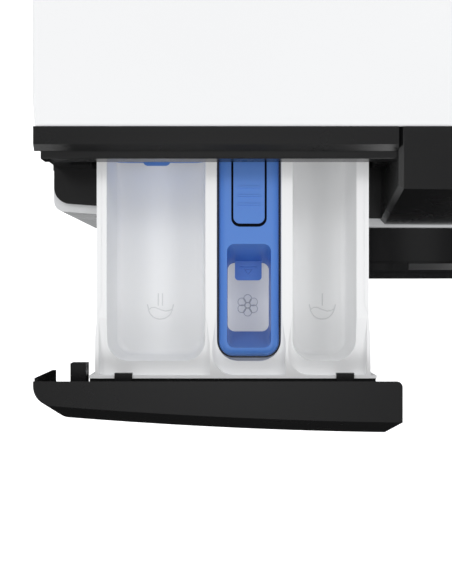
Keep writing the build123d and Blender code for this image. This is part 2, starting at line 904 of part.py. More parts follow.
def scoop(left, right, left_start, right_start, left_r, right_r):
    """The sloping hollow round the front of a compartment."""
    rear = flange_y + scoop_len
    with BuildPart() as space:
        with BuildSketch(at_z(rim_z - scoop_drop - 1.0)):
            with BuildLine():
                Polyline(
                    (left, tub_y),
                    (right, tub_y),
                    (right, rear - 17.0),
                    (right_start, rear + 5.0),
                    (left_start, rear + 5.0),
                    (left, rear - 17.0),
                    close=True,
                )
            make_face()
            front = vertices().group_by(Axis.Y)[0].sort_by(Axis.X)
            fillet([front[0]], left_r)
            fillet([front[-1]], right_r)
        extrude(amount=scoop_drop + 2.0)
        with BuildPart(mode=Mode.PRIVATE) as wedge:
            with BuildSketch(facing_right(left - 5.0)):
                with BuildLine():
                    Polyline(
                        (rear, rim_z),
                        (tub_y - 1.0, rim_z - scoop_drop),
                        (tub_y - 1.0, rim_z + 2.0),
                        (rear, rim_z + 2.0),
                        close=True,
                    )
                make_face()
            extrude(amount=right - left + 10.0)
        add(wedge.part, mode=Mode.INTERSECT)
    return space


def make_drawer_tub():
    """White three-compartment tub with its front flange, rails, scoops and hollow dividers."""
    side = (divider - scoop_ridge) / 2
    pockets = [(main_x, main_w), (softener_x, softener_w), (prewash_x, prewash_w)]
    with BuildPart() as tub:
        with BuildSketch(at_z(tub_z)):
            with BuildLine():
                Polyline(
                    (tub_left, tub_back_y),
                    (tub_left, flange_y + scoop_len),
                    (tub_left - flare, flange_y + scoop_len - 13.0),
                    (tub_left - flare, flange_y + 0.5),
                    (tub_right + flare, flange_y + 0.5),
                    (tub_right + flare, flange_y + scoop_len - 13.0),
                    (tub_right, flange_y + scoop_len),
                    (tub_right, tub_back_y),
                    close=True,
                )
            make_face()
        extrude(amount=tub_h)
        fillet(tub.faces().sort_by(Axis.Z)[0].edges().filter_by(Axis.Y), 3.0)
        block((tub_left - flange_out, flange_y, tub_z + 7.0), (tub_right + flange_out, tub_y, rim_z))
        for x, width in pockets:
            add(pocket(x, width).part, mode=Mode.SUBTRACT)
        lefts = (tub_left + scoop_wall, softener_x - side, prewash_x - side)
        rights = (main_x + main_w + side, softener_x + softener_w + side, tub_right - scoop_wall)
        radii = ((1.5, scoop_r), (scoop_r, scoop_r), (scoop_r, 1.5))
        for i in range(3):
            x, width = pockets[i]
            starts = (lefts[i] if i == 0 else x, rights[i] if i == 2 else x + width)
            add(scoop(lefts[i], rights[i], *starts, *radii[i]).part, mode=Mode.SUBTRACT)
        for x in (tub_left, tub_right):
            inward = 1 if x == tub_left else -1
            with BuildSketch(at_z(rim_z - 0.6)):
                with BuildLine():
                    Polyline(
                        (x + inward * rail_w, tub_back_y + 1.0),
                        (x + inward * rail_w, flange_y + rail_front + 8.5),
                        (x - inward * 0.4, flange_y + rail_front),
                    )
                trace(line_width=rail_line)
            extrude(amount=2.0, mode=Mode.SUBTRACT)
        ends = [(tub_left, main_x), (prewash_x + prewash_w, tub_right)]
        gaps = [(main_x + main_w, softener_x), (softener_x + softener_w, prewash_x)]
        for low, high in ends + gaps:
            block(
                (low + tub_wall, flange_y + scoop_len + 8.0, tub_z - 1.0),
                (high - tub_wall, tub_back_y - 3.0, rim_z - 3.0),
                mode=Mode.SUBTRACT,
            )
        pin_y = flange_y + flap_back
        rod((main_x - 1.6, pin_y, flap_pin_z), (main_x + main_w + 1.6, pin_y, flap_pin_z), 1.57, Mode.SUBTRACT)
    return tub


def make_drawer_front():
    """Black front of the drawer: a leaning bowed shell, clipped over the tub's flange."""
    wall = drawer_front_wall
    right = recess_x - front_gap
    bottom = fascia_bottom + fascia_wall + 1.5
    back = recess_y + header_step + header_step - 1.0 - header_lap
    with BuildPart() as front:
        add(fascia_form().part)
        with BuildPart(mode=Mode.PRIVATE) as field:
            with BuildSketch(at_z(bottom)):
                with BuildLine():
                    Polyline(
                        (-half_w - 1, front_y - 1),
                        (right, front_y - 1),
                        (right, back),
                        (-half_w - 1, back),
                        close=True,
                    )
                make_face()
                corner = [v for v in vertices() if v.X > -half_w and v.Y > front_y]
                fillet(corner, 4.0)
            extrude(amount=fascia_h)
        add(field.part, mode=Mode.INTERSECT)
        sole = front.faces().sort_by(Axis.Z)[0].edges().sort_by(Axis.Y)
        fillet(sole[0], 1.4)
        add(right_section().part.moved(Location((-front_gap, 0, 0))), mode=Mode.SUBTRACT)
        add(header().part.moved(Location((0, -header_lap, 0))), mode=Mode.SUBTRACT)
        block(
            (-half_w - 1, recess_y - 1.3, bottom - 1),
            (right + 1, fascia_back_y, header_z + 0.5),
            mode=Mode.SUBTRACT,
        )
        block(
            (-half_w - 1, recess_y - header_lap - 0.5, header_z - 1),
            (-half_w + ear_room + 1, fascia_back_y, ledge_z - 0.8),
            mode=Mode.SUBTRACT,
        )
        with BuildPart(mode=Mode.PRIVATE) as hollow:
            add(fascia_form(wall, fascia_back_y + 1).part)
            block(
                (-half_w, front_y, fascia_bottom),
                (half_w, fascia_back_y + 2, bottom + wall),
                mode=Mode.SUBTRACT,
            )
            block(
                (cheek_x - front_gap - wall, front_y, fascia_bottom),
                (half_w, fascia_back_y + 2, fascia_top + 1),
                mode=Mode.SUBTRACT,
            )
        add(hollow.part, mode=Mode.SUBTRACT)
        block(
            (tub_left + 30.0, front_y + 20.0, bottom - 1),
            (tub_right - 30.0, recess_y - 6.0, bottom + wall + 1),
            mode=Mode.SUBTRACT,
        )
        with BuildPart(mode=Mode.PRIVATE) as ribs:
            plate_y = flange_y - wall
            block((tub_left - 5.0, plate_y, tub_z + 9.0), (tub_right + 5.0, flange_y, rim_z - 2.0))
            for x in (tub_left + 12.0, tub_left + 70.0, tub_right - 58.0, tub_right - 9.0):
                block((x, front_y, tub_z + 9.0), (x + 2.0, plate_y, rim_z - 2.0))
            for x in (clip_left, clip_right):
                block((x, plate_y, tub_z + 9.0), (x + clip_w, flange_y, rim_z + 1.6))
                block((x, flange_y, rim_z), (x + clip_w, tub_y + 1.7, rim_z + 1.6))
                block((x, tub_y, rim_z - 5.0), (x + clip_w, tub_y + 1.7, rim_z + 1.6))
            block((tab_x, front_y, tab_z), (tab_x + tab_w, back + tab_out, tab_z + tab_h))
            for i in range(3):
                x = tab_x + tab_w * (i + 0.5) / 3 - 0.6
                block((x, back + 1.0, tab_z - 1), (x + 1.2, back + 13.0, tab_z + 1.2), mode=Mode.SUBTRACT)
            with BuildPart(mode=Mode.PRIVATE) as room:
                add(fascia_form(wall - 0.3, fascia_back_y + 5).part)
            add(room.part, mode=Mode.INTERSECT)
        add(ribs.part)
        with BuildPart(mode=Mode.PRIVATE) as ear:
            block(
                (-half_w, recess_y - 16.0, bottom + 1.4),
                (-half_w + ear_t, recess_y + ear_out - ear_gap, ledge_z - 0.8),
            )
            add(fascia_form().part, mode=Mode.INTERSECT)
        add(ear.part)
    return front


def cap_outline(inset=0.0):
    """Plan of the siphon cap, drawn in all round by inset."""
    low = flange_y + pocket_front + cap_front_gap + inset
    high = tub_back_y - pocket_back - 2.5 - inset
    with Locations((softener_x + softener_w / 2, (low + high) / 2)):
        Rectangle(softener_w - 2 * cap_gap - 2 * inset, high - low)
    fillet(vertices().group_by(Axis.Y)[0], cap_corner_r - inset)
    fillet(vertices().group_by(Axis.Y)[-1], 7.0 - inset)


def make_siphon_cap():
    """Blue cap over the softener compartment: rounded tray, funnel, level tab and a tongue's slot."""
    top = rim_z - cap_sink
    middle = softener_x + softener_w / 2
    window_y = flange_y + window_front
    with BuildPart() as cap:
        with BuildSketch(at_z(top - cap_plate)):
            cap_outline()
        extrude(amount=cap_plate)
        fillet(cap.faces().sort_by(Axis.Z)[-1].edges(), cap_edge_r)
        with BuildPart(mode=Mode.PRIVATE) as under:
            with BuildSketch(at_z(top - cap_plate)):
                cap_outline(2.2)
            extrude(amount=cap_plate - 2.6)
            fillet(under.faces().sort_by(Axis.Z)[-1].edges(), cap_edge_r - 2.2)
        add(under.part, mode=Mode.SUBTRACT)
        for spread, grow, mode in ((2.0, 0.0, Mode.ADD), (0.0, 0.5, Mode.SUBTRACT)):
            with BuildPart(mode=Mode.PRIVATE) as funnel:
                with BuildSketch(at_z(top - (2.2 if mode == Mode.ADD else -0.5))):
                    with Locations((middle, window_y + window_len / 2)):
                        RectangleRounded(window_w + 2 * spread, window_len + 2 * spread, window_r)
                with BuildSketch(at_z(top - funnel_h - grow)):
                    with Locations((middle, window_y + 10.6 + window_foot / 2)):
                        RectangleRounded(window_w - 1.0 + 2 * spread, window_foot + 2 * spread, window_r)
                loft()
            add(funnel.part, mode=mode)
        with BuildSketch(at_z(top - funnel_h + 1.5)):
            with Locations((middle, window_y + window_len - 18.0)):
                Rectangle(19.0, 14.0)
            fillet(vertices().group_by(Axis.Y)[0], 2.6)
        extrude(amount=2.0)
        tongue_y = flange_y + tongue_front
        with BuildSketch(at_z(top - cap_plate)):
            with Locations((middle, tongue_y + (tongue_len + slot_w) / 2)):
                RectangleRounded(tongue_w + 2 * slot_w, tongue_len + slot_w * 2, tongue_r)
        extrude(amount=cap_plate + 1, mode=Mode.SUBTRACT)
        hinge = tongue_y + tongue_len - 3.0
        for end in (-1, 1):
            x = middle + end * (tongue_w / 2 + slot_w)
            block((x - end * 0.6, hinge - 3.0, top - 8.0), (x + end * 1.9, hinge + 3.0, top - 2.0))
        reach = tongue_w / 2 + slot_w + 3
        rod((middle - reach, hinge, top - 5.0), (middle + reach, hinge, top - 5.0), 1.25, Mode.SUBTRACT)
    return cap


def make_release_tab():
    """The tongue in the cap that is pressed to lift the drawer out, with three grip ridges."""
    top = rim_z - cap_sink
    middle = softener_x + softener_w / 2
    low = flange_y + tongue_front + slot_w
    with BuildPart() as tab:
        with BuildSketch(at_z(top - tongue_t)):
            with Locations((middle, low + tongue_len / 2 - 0.6)):
                RectangleRounded(tongue_w, tongue_len - 1.2, tongue_r - slot_w)
        extrude(amount=tongue_t)
        for y in (19.5, 13.6, 7.7):
            block((middle - 7.6, low + y + 5.0, top - 0.5), (middle + 7.6, low + y + 6.2, top + 0.7))
        hinge = low - slot_w + tongue_len - 3.0
        block((middle - tongue_w / 2 + 1, hinge - 2.5, top - 7.2), (middle + tongue_w / 2 - 1, hinge + 2.5, top - 2.0))
        reach = tongue_w / 2 + slot_w + 1.4
        rod((middle - reach, hinge, top - 5.0), (middle + reach, hinge, top - 5.0), 1.2)
    return tab


def make_liquid_flap():
    """The swinging gate for liquid detergent, on two pins near its top."""
    y = flange_y + flap_back
    with BuildPart() as flap:
        with BuildSketch(facing_front(y + flap_t / 2)):
            with Locations((main_x + main_w / 2, (tub_z + 8.0 + flap_pin_z + 4.0) / 2)):
                Rectangle(main_w - 4.4, flap_pin_z + 4.0 - tub_z - 8.0)
            fillet(vertices().group_by(Axis.Y)[0], 9.0)
        extrude(amount=flap_t)
        block((main_x + 1.1, y - flap_t / 2, flap_pin_z - 4.0), (main_x + main_w - 1.1, y + flap_t / 2, flap_pin_z + 4.0))
        with BuildSketch(at_z(flap_pin_z)):
            with Locations((main_x + main_w / 2, y - 3.2)):
                RectangleRounded(19.0, 8.4, 3.4)
        extrude(amount=-2.0)
        for x in (main_x + 5.0, main_x + main_w - 8.6):
            block((x, y - 4.0, flap_pin_z + 1.0), (x + 3.6, y, flap_pin_z + 4.0))
        rod((main_x - 1.2, y, flap_pin_z), (main_x + main_w + 1.2, y, flap_pin_z), 1.5)
    return flap


def make_housing():
    """Dispenser box the drawer runs in, with its water channels on top and its outlet below."""
    left, right = tub_left - housing_gap, tub_right + housing_gap
    wall = housing_wall
    top = rim_z + 3.0
    with BuildPart() as box:
        block((left - wall, housing_y, housing_z), (right + wall, housing_back_y + wall, top + wall))
        block((left, housing_y - 1, housing_z + wall), (right, housing_back_y, top), mode=Mode.SUBTRACT)
        block((left + 12.0, housing_y + 20.0, top + wall), (right - 12.0, housing_back_y - 6.0, top + wall + 4.5))
        for x in (left + 20.0, (left + right) / 2 - 8.0, right - 60.0):
            block(
                (x, housing_y + 26.0, top + wall),
                (x + 40.0, housing_back_y - 14.0, top + wall + 5.0),
                mode=Mode.SUBTRACT,
            )
        rod((hose_x, hose_y, housing_z - 9.0), (hose_x, hose_y, housing_z + 1.0), hose_r - 2.2)
        rod((hose_x, hose_y, housing_z - 10.0), (hose_x, hose_y, housing_z + wall + 1.0), hose_r - 4.2, Mode.SUBTRACT)
        rod((feed_x, housing_back_y, feed_z), (feed_x, housing_back_y + 14.0, feed_z), 5.0)
        rod((feed_x, housing_back_y - 1, feed_z), (feed_x, housing_back_y + 15.0, feed_z), 3.4, Mode.SUBTRACT)
    return box


# ---------------------------------------------------------------- door
def hinge_bands(low, high):
    """The upright spans, above and below the middle of the door, that lie low to high from it."""
    return [(axis_z + low, axis_z + high), (axis_z - high, axis_z - low)]


def hinge_notch(extra=0.0):
    """The space at the door's left edge that its hinge needs."""
    with BuildPart() as space:
        half = hinge_half + hinge_slack + 1.0 + extra
        block((-door_r - 5, door_front_y - 1, axis_z - half), (notch_x + extra, ring_y + 5, axis_z + half))
    return space


def make_outer_ring():
    """Black ring of the door: bezel, groove, seat for the glass, hinge notch and finger grip."""
    y, r = door_front_y, door_r
    outline = [
        (ring_y, r),
        (y + 8.4, r - 1.8),
        (y + 8.2, r - 3.2),
        (y + 7.2, r - 3.2),
        (y + 7.0, r - 2.2),
        (y + 1.6, r - 3.2),
        (y, r - 6.0),
        (y, glass_r + 0.5),
        (y + glass_t + 0.2, glass_r + 0.5),
        (y + glass_t + 0.2, glass_r - 6.0),
        (y + glass_t + 2.6, glass_r - 6.0),
        (y + glass_t + 2.6, glass_r + 6.0),
        (y + 2.6, glass_r + 6.0),
        (y + 2.6, r - 9.0),
        (y + 4.4, r - 5.8),
        (ring_y, r - 2.6),
    ]
    with BuildPart() as ring:
        add(turned(outline).part)
        with BuildPart(mode=Mode.PRIVATE) as cup:
            add(turned([(ring_y, grip_x - 30.0), (y + 2.0, grip_x - 30.0), (y + 2.0, r - 2.5), (ring_y, r - 2.5)]).part)
            block(
                (grip_x - 2.0, ring_y - 22.0, axis_z - grip_half - 2.0),
                (r, ring_y, axis_z + grip_half + 2.0),
                mode=Mode.INTERSECT,
            )
        add(cup.part)
        block(
            (grip_x, ring_y - 20.0, axis_z - grip_half),
            (r + 2, ring_y + 1, axis_z + grip_half),
            mode=Mode.SUBTRACT,
        )
        add(hinge_notch().part, mode=Mode.SUBTRACT)
        with BuildPart(mode=Mode.PRIVATE) as inlay:
            add(inlay_form(0.0, 0.3).part)
        add(inlay.part, mode=Mode.SUBTRACT)
    return ring


def inlay_form(lift, spread):
    """The small plate at the top of the bezel; lift stands it proud, spread widens it."""
    y, r = door_front_y, door_r
    low, high = y + 1.9 - spread, y + 6.7 + spread
    outline = [(low, r - 4.4), (high, r - 4.4), (high, r - 2.2 + lift), (low, r - 3.1 + lift)]
    with BuildPart() as plate:
        add(turned(outline).part)
        block(
            (-inlay_w / 2 - spread, low - 2, axis_z),
            (inlay_w / 2 + spread, high + 2, axis_z + r + 5),
            mode=Mode.INTERSECT,
        )
    return plate


def make_cover_glass():
    """Tinted disc that closes the ring in front."""
    y = door_front_y
    return turned([(y + 0.2, 0), (y + glass_t, 0), (y + glass_t, glass_r), (y + 0.6, glass_r), (y + 0.2, glass_r - 0.4)])


def make_bowl():
    """Clear glass bowl, with its flange held between the two rings."""
    y, end = bowl_y, bowl_y + bowl_depth
    with BuildPart() as bowl:
        with BuildSketch(drum_plane):
            with BuildLine():
                Polyline(
                    (end, 0),
                    (end - 6.0, bowl_r - 32.0),
                    (y, bowl_r),
                    (y, bowl_r + 16.0),
                    (y - bowl_t, bowl_r + 16.0),
                    (y - bowl_t, bowl_r - bowl_t),
                    (end - 6.0 - bowl_t, bowl_r - 32.0 - bowl_t),
                    (end - bowl_t, 0),
                    close=True,
                )
            make_face()
            bends = [v for v in vertices() if 1 < v.Y < bowl_r + 1 or v.Z > 1e9]
            fillet(bends, 5.0)
        revolve(axis=drum_axis)
    return bowl


def make_inner_ring():
    """Back ring of the door: it carries the bowl, the latch's lugs and the openings behind the grip."""
    r = door_r - 3.0
    outline = [
        (ring_y, r),
        (ring_y - 2.4, r),
        (ring_y - 2.4, bowl_r + 15.0),
        (bowl_y, bowl_r + 15.0),
        (bowl_y, bowl_r + 11.0),
        (ring_y, bowl_r + 8.0),
    ]
    with BuildPart() as ring:
        add(turned(outline).part)
        block(
            (grip_x - 2.4, ring_y - 5, axis_z - grip_half - 2.4),
            (r + 5, ring_y + 1, axis_z + grip_half + 2.4),
            mode=Mode.SUBTRACT,
        )
        add(hinge_notch(0.4).part, mode=Mode.SUBTRACT)
        block(
            (latch_x - 8.5, ring_y - 3, axis_z - latch_half - 0.5),
            (latch_x + 8.0, ring_y + 1, axis_z + latch_half + 0.5),
            mode=Mode.SUBTRACT,
        )
        for low, high in hinge_bands(latch_half + 0.5, latch_half + 4.5):
            block((latch_x - 5.0, latch_y - 5.0, low), (latch_x + 5.0, ring_y - 2.4, high))
            rod((latch_x, latch_y, low - 1), (latch_x, latch_y, high + 1), 2.0 + pin_gap, Mode.SUBTRACT)
    return ring


def make_latch_hook():
    """The sprung hook that catches in the door lock."""
    with BuildPart() as hook:
        rod((latch_x, latch_y, axis_z - latch_half), (latch_x, latch_y, axis_z + latch_half), 4.0)
        block((latch_x - 2.5, latch_y, axis_z - 9.0), (latch_x + 2.0, dish_y + 24.0, axis_z + 9.0))
        block((latch_x + 2.0, dish_y + 18.0, axis_z - 9.0), (latch_x + 6.5, dish_y + 24.0, axis_z + 9.0))
        with BuildPart(mode=Mode.PRIVATE) as nose:
            with BuildSketch(at_z(axis_z - 10.0)):
                with BuildLine():
                    Polyline(
                        (latch_x - 0.5, dish_y + 24.5),
                        (latch_x + 7.0, dish_y + 24.5),
                        (latch_x + 7.0, dish_y + 19.5),
                        close=True,
                    )
                make_face()
            extrude(amount=20.0)
        add(nose.part, mode=Mode.SUBTRACT)
        reach = latch_half + 4.5
        rod((latch_x, latch_y, axis_z - reach), (latch_x, latch_y, axis_z + reach), 2.0)
    return hook


def make_hinge_arm():
    """The moving leaf: knuckle and pins on the hinge line, and the plate fixed inside the ring."""
    half = hinge_half - knuckle_h - 1.0
    plate_y = door_front_y + 2.6
    with BuildPart() as arm:
        rod((hinge_x, hinge_y, axis_z - half), (hinge_x, hinge_y, axis_z + half), knuckle_r)
        block((hinge_x - 2.0, plate_y + 2.0, axis_z - half), (notch_x + 6.0, hinge_y - 1.0, axis_z + half))
        block((notch_x + 4.0, plate_y, axis_z - 36.0), (notch_x + 34.0, plate_y + 3.0, axis_z + 36.0))
        rod((hinge_x, hinge_y, axis_z - hinge_half), (hinge_x, hinge_y, axis_z + hinge_half), pin_r)
        for z in (-26.0, 26.0):
            rod(
                (notch_x + 22.0, plate_y + 2.0, axis_z + z),
                (notch_x + 22.0, plate_y + 5.0, axis_z + z),
                4.0,
            )
    return arm


def make_hinge_bracket():
    """The fixed leaf: two knuckles on arms that come through the dish from a plate behind it."""
    with BuildPart() as bracket:
        block(
            (hinge_x - 10.0, dish_y + sheet, axis_z - hinge_half - 10.0),
            (hinge_x + 22.0, dish_y + sheet + 3.0, axis_z + hinge_half + 10.0),
        )
        for low, high in hinge_bands(hinge_half - knuckle_h, hinge_half):
            block((hinge_x - knuckle_r, hinge_y, low), (hinge_x + knuckle_r, dish_y + sheet, high))
            rod((hinge_x, hinge_y, low), (hinge_x, hinge_y, high), knuckle_r)
            rod((hinge_x, hinge_y, low - 1), (hinge_x, hinge_y, high + 1), pin_r + pin_gap, Mode.SUBTRACT)
    return bracket


def make_door_lock():
    """Lock box behind the front panel, hollow where the hook enters."""
    y = dish_y + sheet
    with BuildPart() as lock:
        block((latch_x - 12.0, y, axis_z - 34.0), (latch_x + 30.0, y + 32.0, axis_z + 34.0))
        block((latch_x - 9.5, y - 1, axis_z - 15.5), (latch_x + 13.5, y + 27.0, axis_z + 15.5), mode=Mode.SUBTRACT)
        block((latch_x + 5.0, y + 4.0, axis_z + 34.0), (latch_x + 22.0, y + 22.0, axis_z + 46.0))
    return lock


def make_gasket():
    """Rubber bellows from the rolled mouth of the front panel to the collar of the wash tub."""
    line = [
        (dish_y + 12.0, mouth_r - 0.1),
        (dish_y + 1.2, mouth_r - 0.1),
        (dish_y + 6.0, bowl_r + 0.5),
        (dish_y + 26.0, bowl_r + 4.5),
        (dish_y + 36.0, mouth_r - 4.0),
        (dish_y + 47.0, mouth_r - 4.0),
        (tub_mouth_y - 3.0, collar_r + 4.1),
        (tub_mouth_y + 9.0, collar_r + 4.1),
    ]
    return thin_turned(line, gasket_t, 2.0)


# ---------------------------------------------------------------- wash unit
def make_tub_front():
    """Front half of the plastic wash tub: collar, sump trough, hose stub and damper lugs."""
    lip, rear = wash_front_y, seam_y
    outline = [
        (tub_mouth_y, collar_r),
        (tub_mouth_y, collar_r + 4.0),
        (lip, collar_r + 4.0),
        (lip, wash_out_r - 6.0),
        (lip + 6.0, wash_out_r),
        (rear - 5.0, wash_out_r),
        (rear - 5.0, wash_out_r + 10.0),
        (rear, wash_out_r + 10.0),
        (rear, wash_r),
        (lip + wash_tub_t, wash_r),
        (lip + wash_tub_t, collar_r),
    ]
    low = axis_z - wash_out_r - sump_depth
    with BuildPart() as tub:
        add(turned(outline).part)
        block((-sump_half, lip, low), (sump_half, rear - 6.0, low + 70.0))
        rod((sump_x, sump_y, low - 14.0), (sump_x, sump_y, low + 2.0), sump_hose_r - 3.1)
        rod((hose_x, hose_y, hose_top), (hose_x, hose_y, hose_top - 40.0), hose_r - 2.2)
        for end in (-1, 1):
            x = end * damper_x
            block((x - 10.0, damper_y - 10.0, damper_rod_top), (x + 10.0, damper_y + 10.0, damper_rod_top + 45.0))
        with BuildSketch(facing_front(rear + 1.0)):
            with Locations((0, axis_z)):
                Circle(wash_r)
        extrude(amount=rear + 1.0 - lip - wash_tub_t, mode=Mode.SUBTRACT)
        block(
            (-sump_half + 4.0, lip + wash_tub_t, low + 4.0),
            (sump_half - 4.0, rear - 10.0, low + 90.0),
            mode=Mode.SUBTRACT,
        )
        rod((sump_x, sump_y, low - 15.0), (sump_x, sump_y, low + 5.0), sump_hose_r - 5.1, Mode.SUBTRACT)
        rod((hose_x, hose_y, hose_top + 1), (hose_x, hose_y, hose_top - 45.0), hose_r - 4.2, Mode.SUBTRACT)
        block((-28.0, lip - 1, low + 7.0), (28.0, lip + wash_tub_t + 1, low + 21.0), mode=Mode.SUBTRACT)
    return tub


def make_tub_rear():
    """Rear half of the wash tub: bearing hub, ribs, spring lugs and motor mounts."""
    rear = wash_back_y
    outline = [
        (seam_y, wash_r),
        (seam_y, wash_out_r + 10.0),
        (seam_y + 5.0, wash_out_r + 10.0),
        (seam_y + 5.0, wash_out_r),
        (rear + wash_tub_t, wash_out_r),
        (rear + wash_tub_t, 62.0),
        (hub_y, bearing_r + 14.0),
        (hub_y, bearing_r),
        (rear - 8.0, bearing_r),
        (rear - 8.0, bearing_r + 9.0),
        (rear, bearing_r + 19.0),
        (rear, wash_r),
    ]
    with BuildPart() as tub:
        add(turned(outline).part)
        with BuildSketch(facing_front(rear + wash_tub_t + 10.0)):
            with Locations((0, axis_z)):
                with PolarLocations(152.0, 8, start_angle=22.5):
                    Rectangle(200.0, 4.0)
        extrude(amount=10.0)
        for end in (-1, 1):
            x = end * spring_x
            block((x - 7.0, spring_y - 9.0, spring_low - 60.0), (x + 7.0, spring_y + 9.0, spring_low))
            block((x - 13.0, spring_y - 13.0, spring_low - 4.0), (x + 13.0, spring_y + 13.0, spring_low))
        for y in (motor_y + 12.0, motor_y + motor_len - 26.0):
            block((motor_x - 15.0, y, motor_mount_z), (motor_x + 15.0, y + 14.0, motor_mount_z + 50.0))
        with BuildSketch(facing_front(rear)):
            with Locations((0, axis_z)):
                Circle(wash_r)
        extrude(amount=rear - seam_y + 1.0, mode=Mode.SUBTRACT)
        with BuildPart(mode=Mode.PRIVATE) as boss:
            boss_line = [(rear, bearing_r), (rear - 8.0, bearing_r), (rear - 8.0, bearing_r + 9.0), (rear, bearing_r + 19.0)]
            add(turned(boss_line).part)
        add(boss.part)
    return tub


def make_front_counterweight():
    """Concrete horseshoe bolted round the mouth of the wash tub."""
    with BuildPart() as weight:
        with BuildSketch(facing_front(wash_front_y)):
            with Locations((0, axis_z)):
                Circle(wash_out_r - 11.0)
                Circle(collar_r + 15.0, mode=Mode.SUBTRACT)
            with BuildLine():
                Polyline((0, axis_z), (-260.0, axis_z - 320.0), (260.0, axis_z - 320.0), close=True)
            make_face(mode=Mode.SUBTRACT)
        extrude(amount=30.0)
        ends = weight.edges().filter_by(Axis.Y)
        fillet(ends, 8.0)
    return weight


def make_top_counterweight():
    """Concrete block saddled on top of the wash tub."""
    with BuildPart() as weight:
        block((-20.0, -112.0, axis_z + 130.0), (186.0, 84.0, weight_top))
        fillet(weight.edges().filter_by(Axis.Z), 12.0)
        with BuildSketch(facing_front(200.0)):
            with Locations((0, axis_z)):
                Circle(wash_out_r)
        extrude(amount=400.0, mode=Mode.SUBTRACT)
        with BuildSketch(facing_front(seam_y + 6.0)):
            with Locations((0, axis_z)):
                Circle(wash_out_r + 11.0)
        extrude(amount=12.0, mode=Mode.SUBTRACT)
    return weight


def make_heater():
    """Bent heating rod in the sump, with its sealing plug and terminals."""
    low = axis_z - wash_out_r - sump_depth
    z = low + 14.0
    with BuildPart() as heater:
        block((-27.9, wash_front_y - 4.0, low + 7.1), (27.9, wash_front_y + wash_tub_t + 4.0, low + 20.9))
        with BuildSketch(facing_front(wash_front_y + 4.0)):
            with Locations((-18.0, z), (18.0, z)):
                Circle(4.0)
        extrude(amount=-150.0)
        rod((-22.0, wash_front_y + 154.0, z), (22.0, wash_front_y + 154.0, z), 4.0)
        for x in (-18.0, 0.0, 18.0):
            block((x - 3.0, wash_front_y - 14.0, z - 0.4), (x + 3.0, wash_front_y - 4.0, z + 0.4))
    return heater


def make_motor_housing():
    """Drive motor's shell under the wash tub, with the feet that bolt to it."""
    rear = motor_y + motor_len
    with BuildPart() as motor:
        rod((motor_x, motor_y, motor_z), (motor_x, rear, motor_z), motor_r)
        fillet(motor.edges().filter_by(GeomType.CIRCLE), 5.0)
        rod((motor_x, motor_y + 5.0, motor_z), (motor_x, rear - 5.0, motor_z), motor_r - 6.0, Mode.SUBTRACT)
        rod((motor_x, rear - 6.0, motor_z), (motor_x, rear + 1.0, motor_z), motor_shaft_r + 0.4, Mode.SUBTRACT)
        for y in (motor_y + 12.0, motor_y + motor_len - 26.0):
            with BuildPart(mode=Mode.PRIVATE) as foot:
                block((motor_x - 15.0, y, motor_z + 20.0), (motor_x + 15.0, y + 14.0, motor_mount_z))
                rod((motor_x, y - 1, motor_z), (motor_x, y + 15.0, motor_z), motor_r - 2.0, Mode.SUBTRACT)
            add(foot.part)
    return motor


def make_motor_rotor():
    """Rotor, shaft and grooved pulley of the motor."""
    rear = motor_y + motor_len
    with BuildPart() as rotor:
        rod((motor_x, motor_y + 14.0, motor_z), (motor_x, rear - 16.0, motor_z), motor_r - 20.0)
        rod((motor_x, motor_y + 6.0, motor_z), (motor_x, pulley_y + pulley_w + 2.0, motor_z), motor_shaft_r)
        rod((motor_x, pulley_y, motor_z), (motor_x, pulley_y + pulley_w, motor_z), motor_pulley_r)
        for y in (pulley_y, pulley_y + pulley_w - 1.5):
            rod((motor_x, y, motor_z), (motor_x, y + 1.5, motor_z), motor_pulley_r + 4.0)
    return rotor


def make_bearings():
    """The two ball bearings of the drum shaft, with the seal in front of them."""
    with BuildPart() as bearings:
        for low, high in ((wash_back_y - 3.0, wash_back_y + 12.0), (hub_y - 17.0, hub_y - 2.0)):
            for inner, outer in ((shaft_r + pin_gap, shaft_r + 4.5), (bearing_r - 4.5, bearing_r)):
                add(turned([(low, inner), (high, inner), (high, outer), (low, outer)]).part)
            cage = (low + high) / 2
            add(
                turned(
                    [
                        (cage - 3.0, shaft_r + 4.0),
                        (cage + 3.0, shaft_r + 4.0),
                        (cage + 3.0, bearing_r - 4.0),
                        (cage - 3.0, bearing_r - 4.0),
                    ]
                ).part
            )
    return bearings


def make_springs():
    """The two springs the unit hangs from."""
    low = spring_low + spring_wire / 2 + 0.1
    high = worktop_z - sheet - 0.2 - brace_h - 1.5 - spring_wire / 2 - 0.1
    pitch = (high - low) / spring_turns
    with BuildPart() as springs:
        for end in (-1, 1):
            with BuildLine():
                coil = Helix(pitch=pitch, height=high - low, radius=spring_r - spring_wire / 2)
            path = coil.moved(Location((end * spring_x, spring_y, low)))
            with BuildSketch(Plane(origin=path @ 0, z_dir=path % 0)):
                Circle(spring_wire / 2)
            sweep(path=path, is_frenet=True)
    return springs


def make_dampers():
    """Friction damper cylinders standing on the base tray."""
    floor = tray_z + tray_t
    with BuildPart() as dampers:
        for end in (-1, 1):
            x = end * damper_x
            block((x - 24.0, damper_y - 20.0, floor), (x + 24.0, damper_y + 20.0, floor + 4.0))
            rod((x, damper_y, floor + 4.0), (x, damper_y, damper_top), damper_r)
            rod((x, damper_y, floor + 30.0), (x, damper_y, damper_top + 1), damper_rod_r + 0.15, Mode.SUBTRACT)
    return dampers


def make_damper_rods():
    """The rods that slide in the dampers and carry the wash tub's lugs."""
    with BuildPart() as rods:
        for end in (-1, 1):
            x = end * damper_x
            rod((x, damper_y, damper_top - 90.0), (x, damper_y, damper_rod_top), damper_rod_r)
            rod((x, damper_y, damper_rod_top - 5.0), (x, damper_y, damper_rod_top), damper_rod_r + 4.0)
    return rods


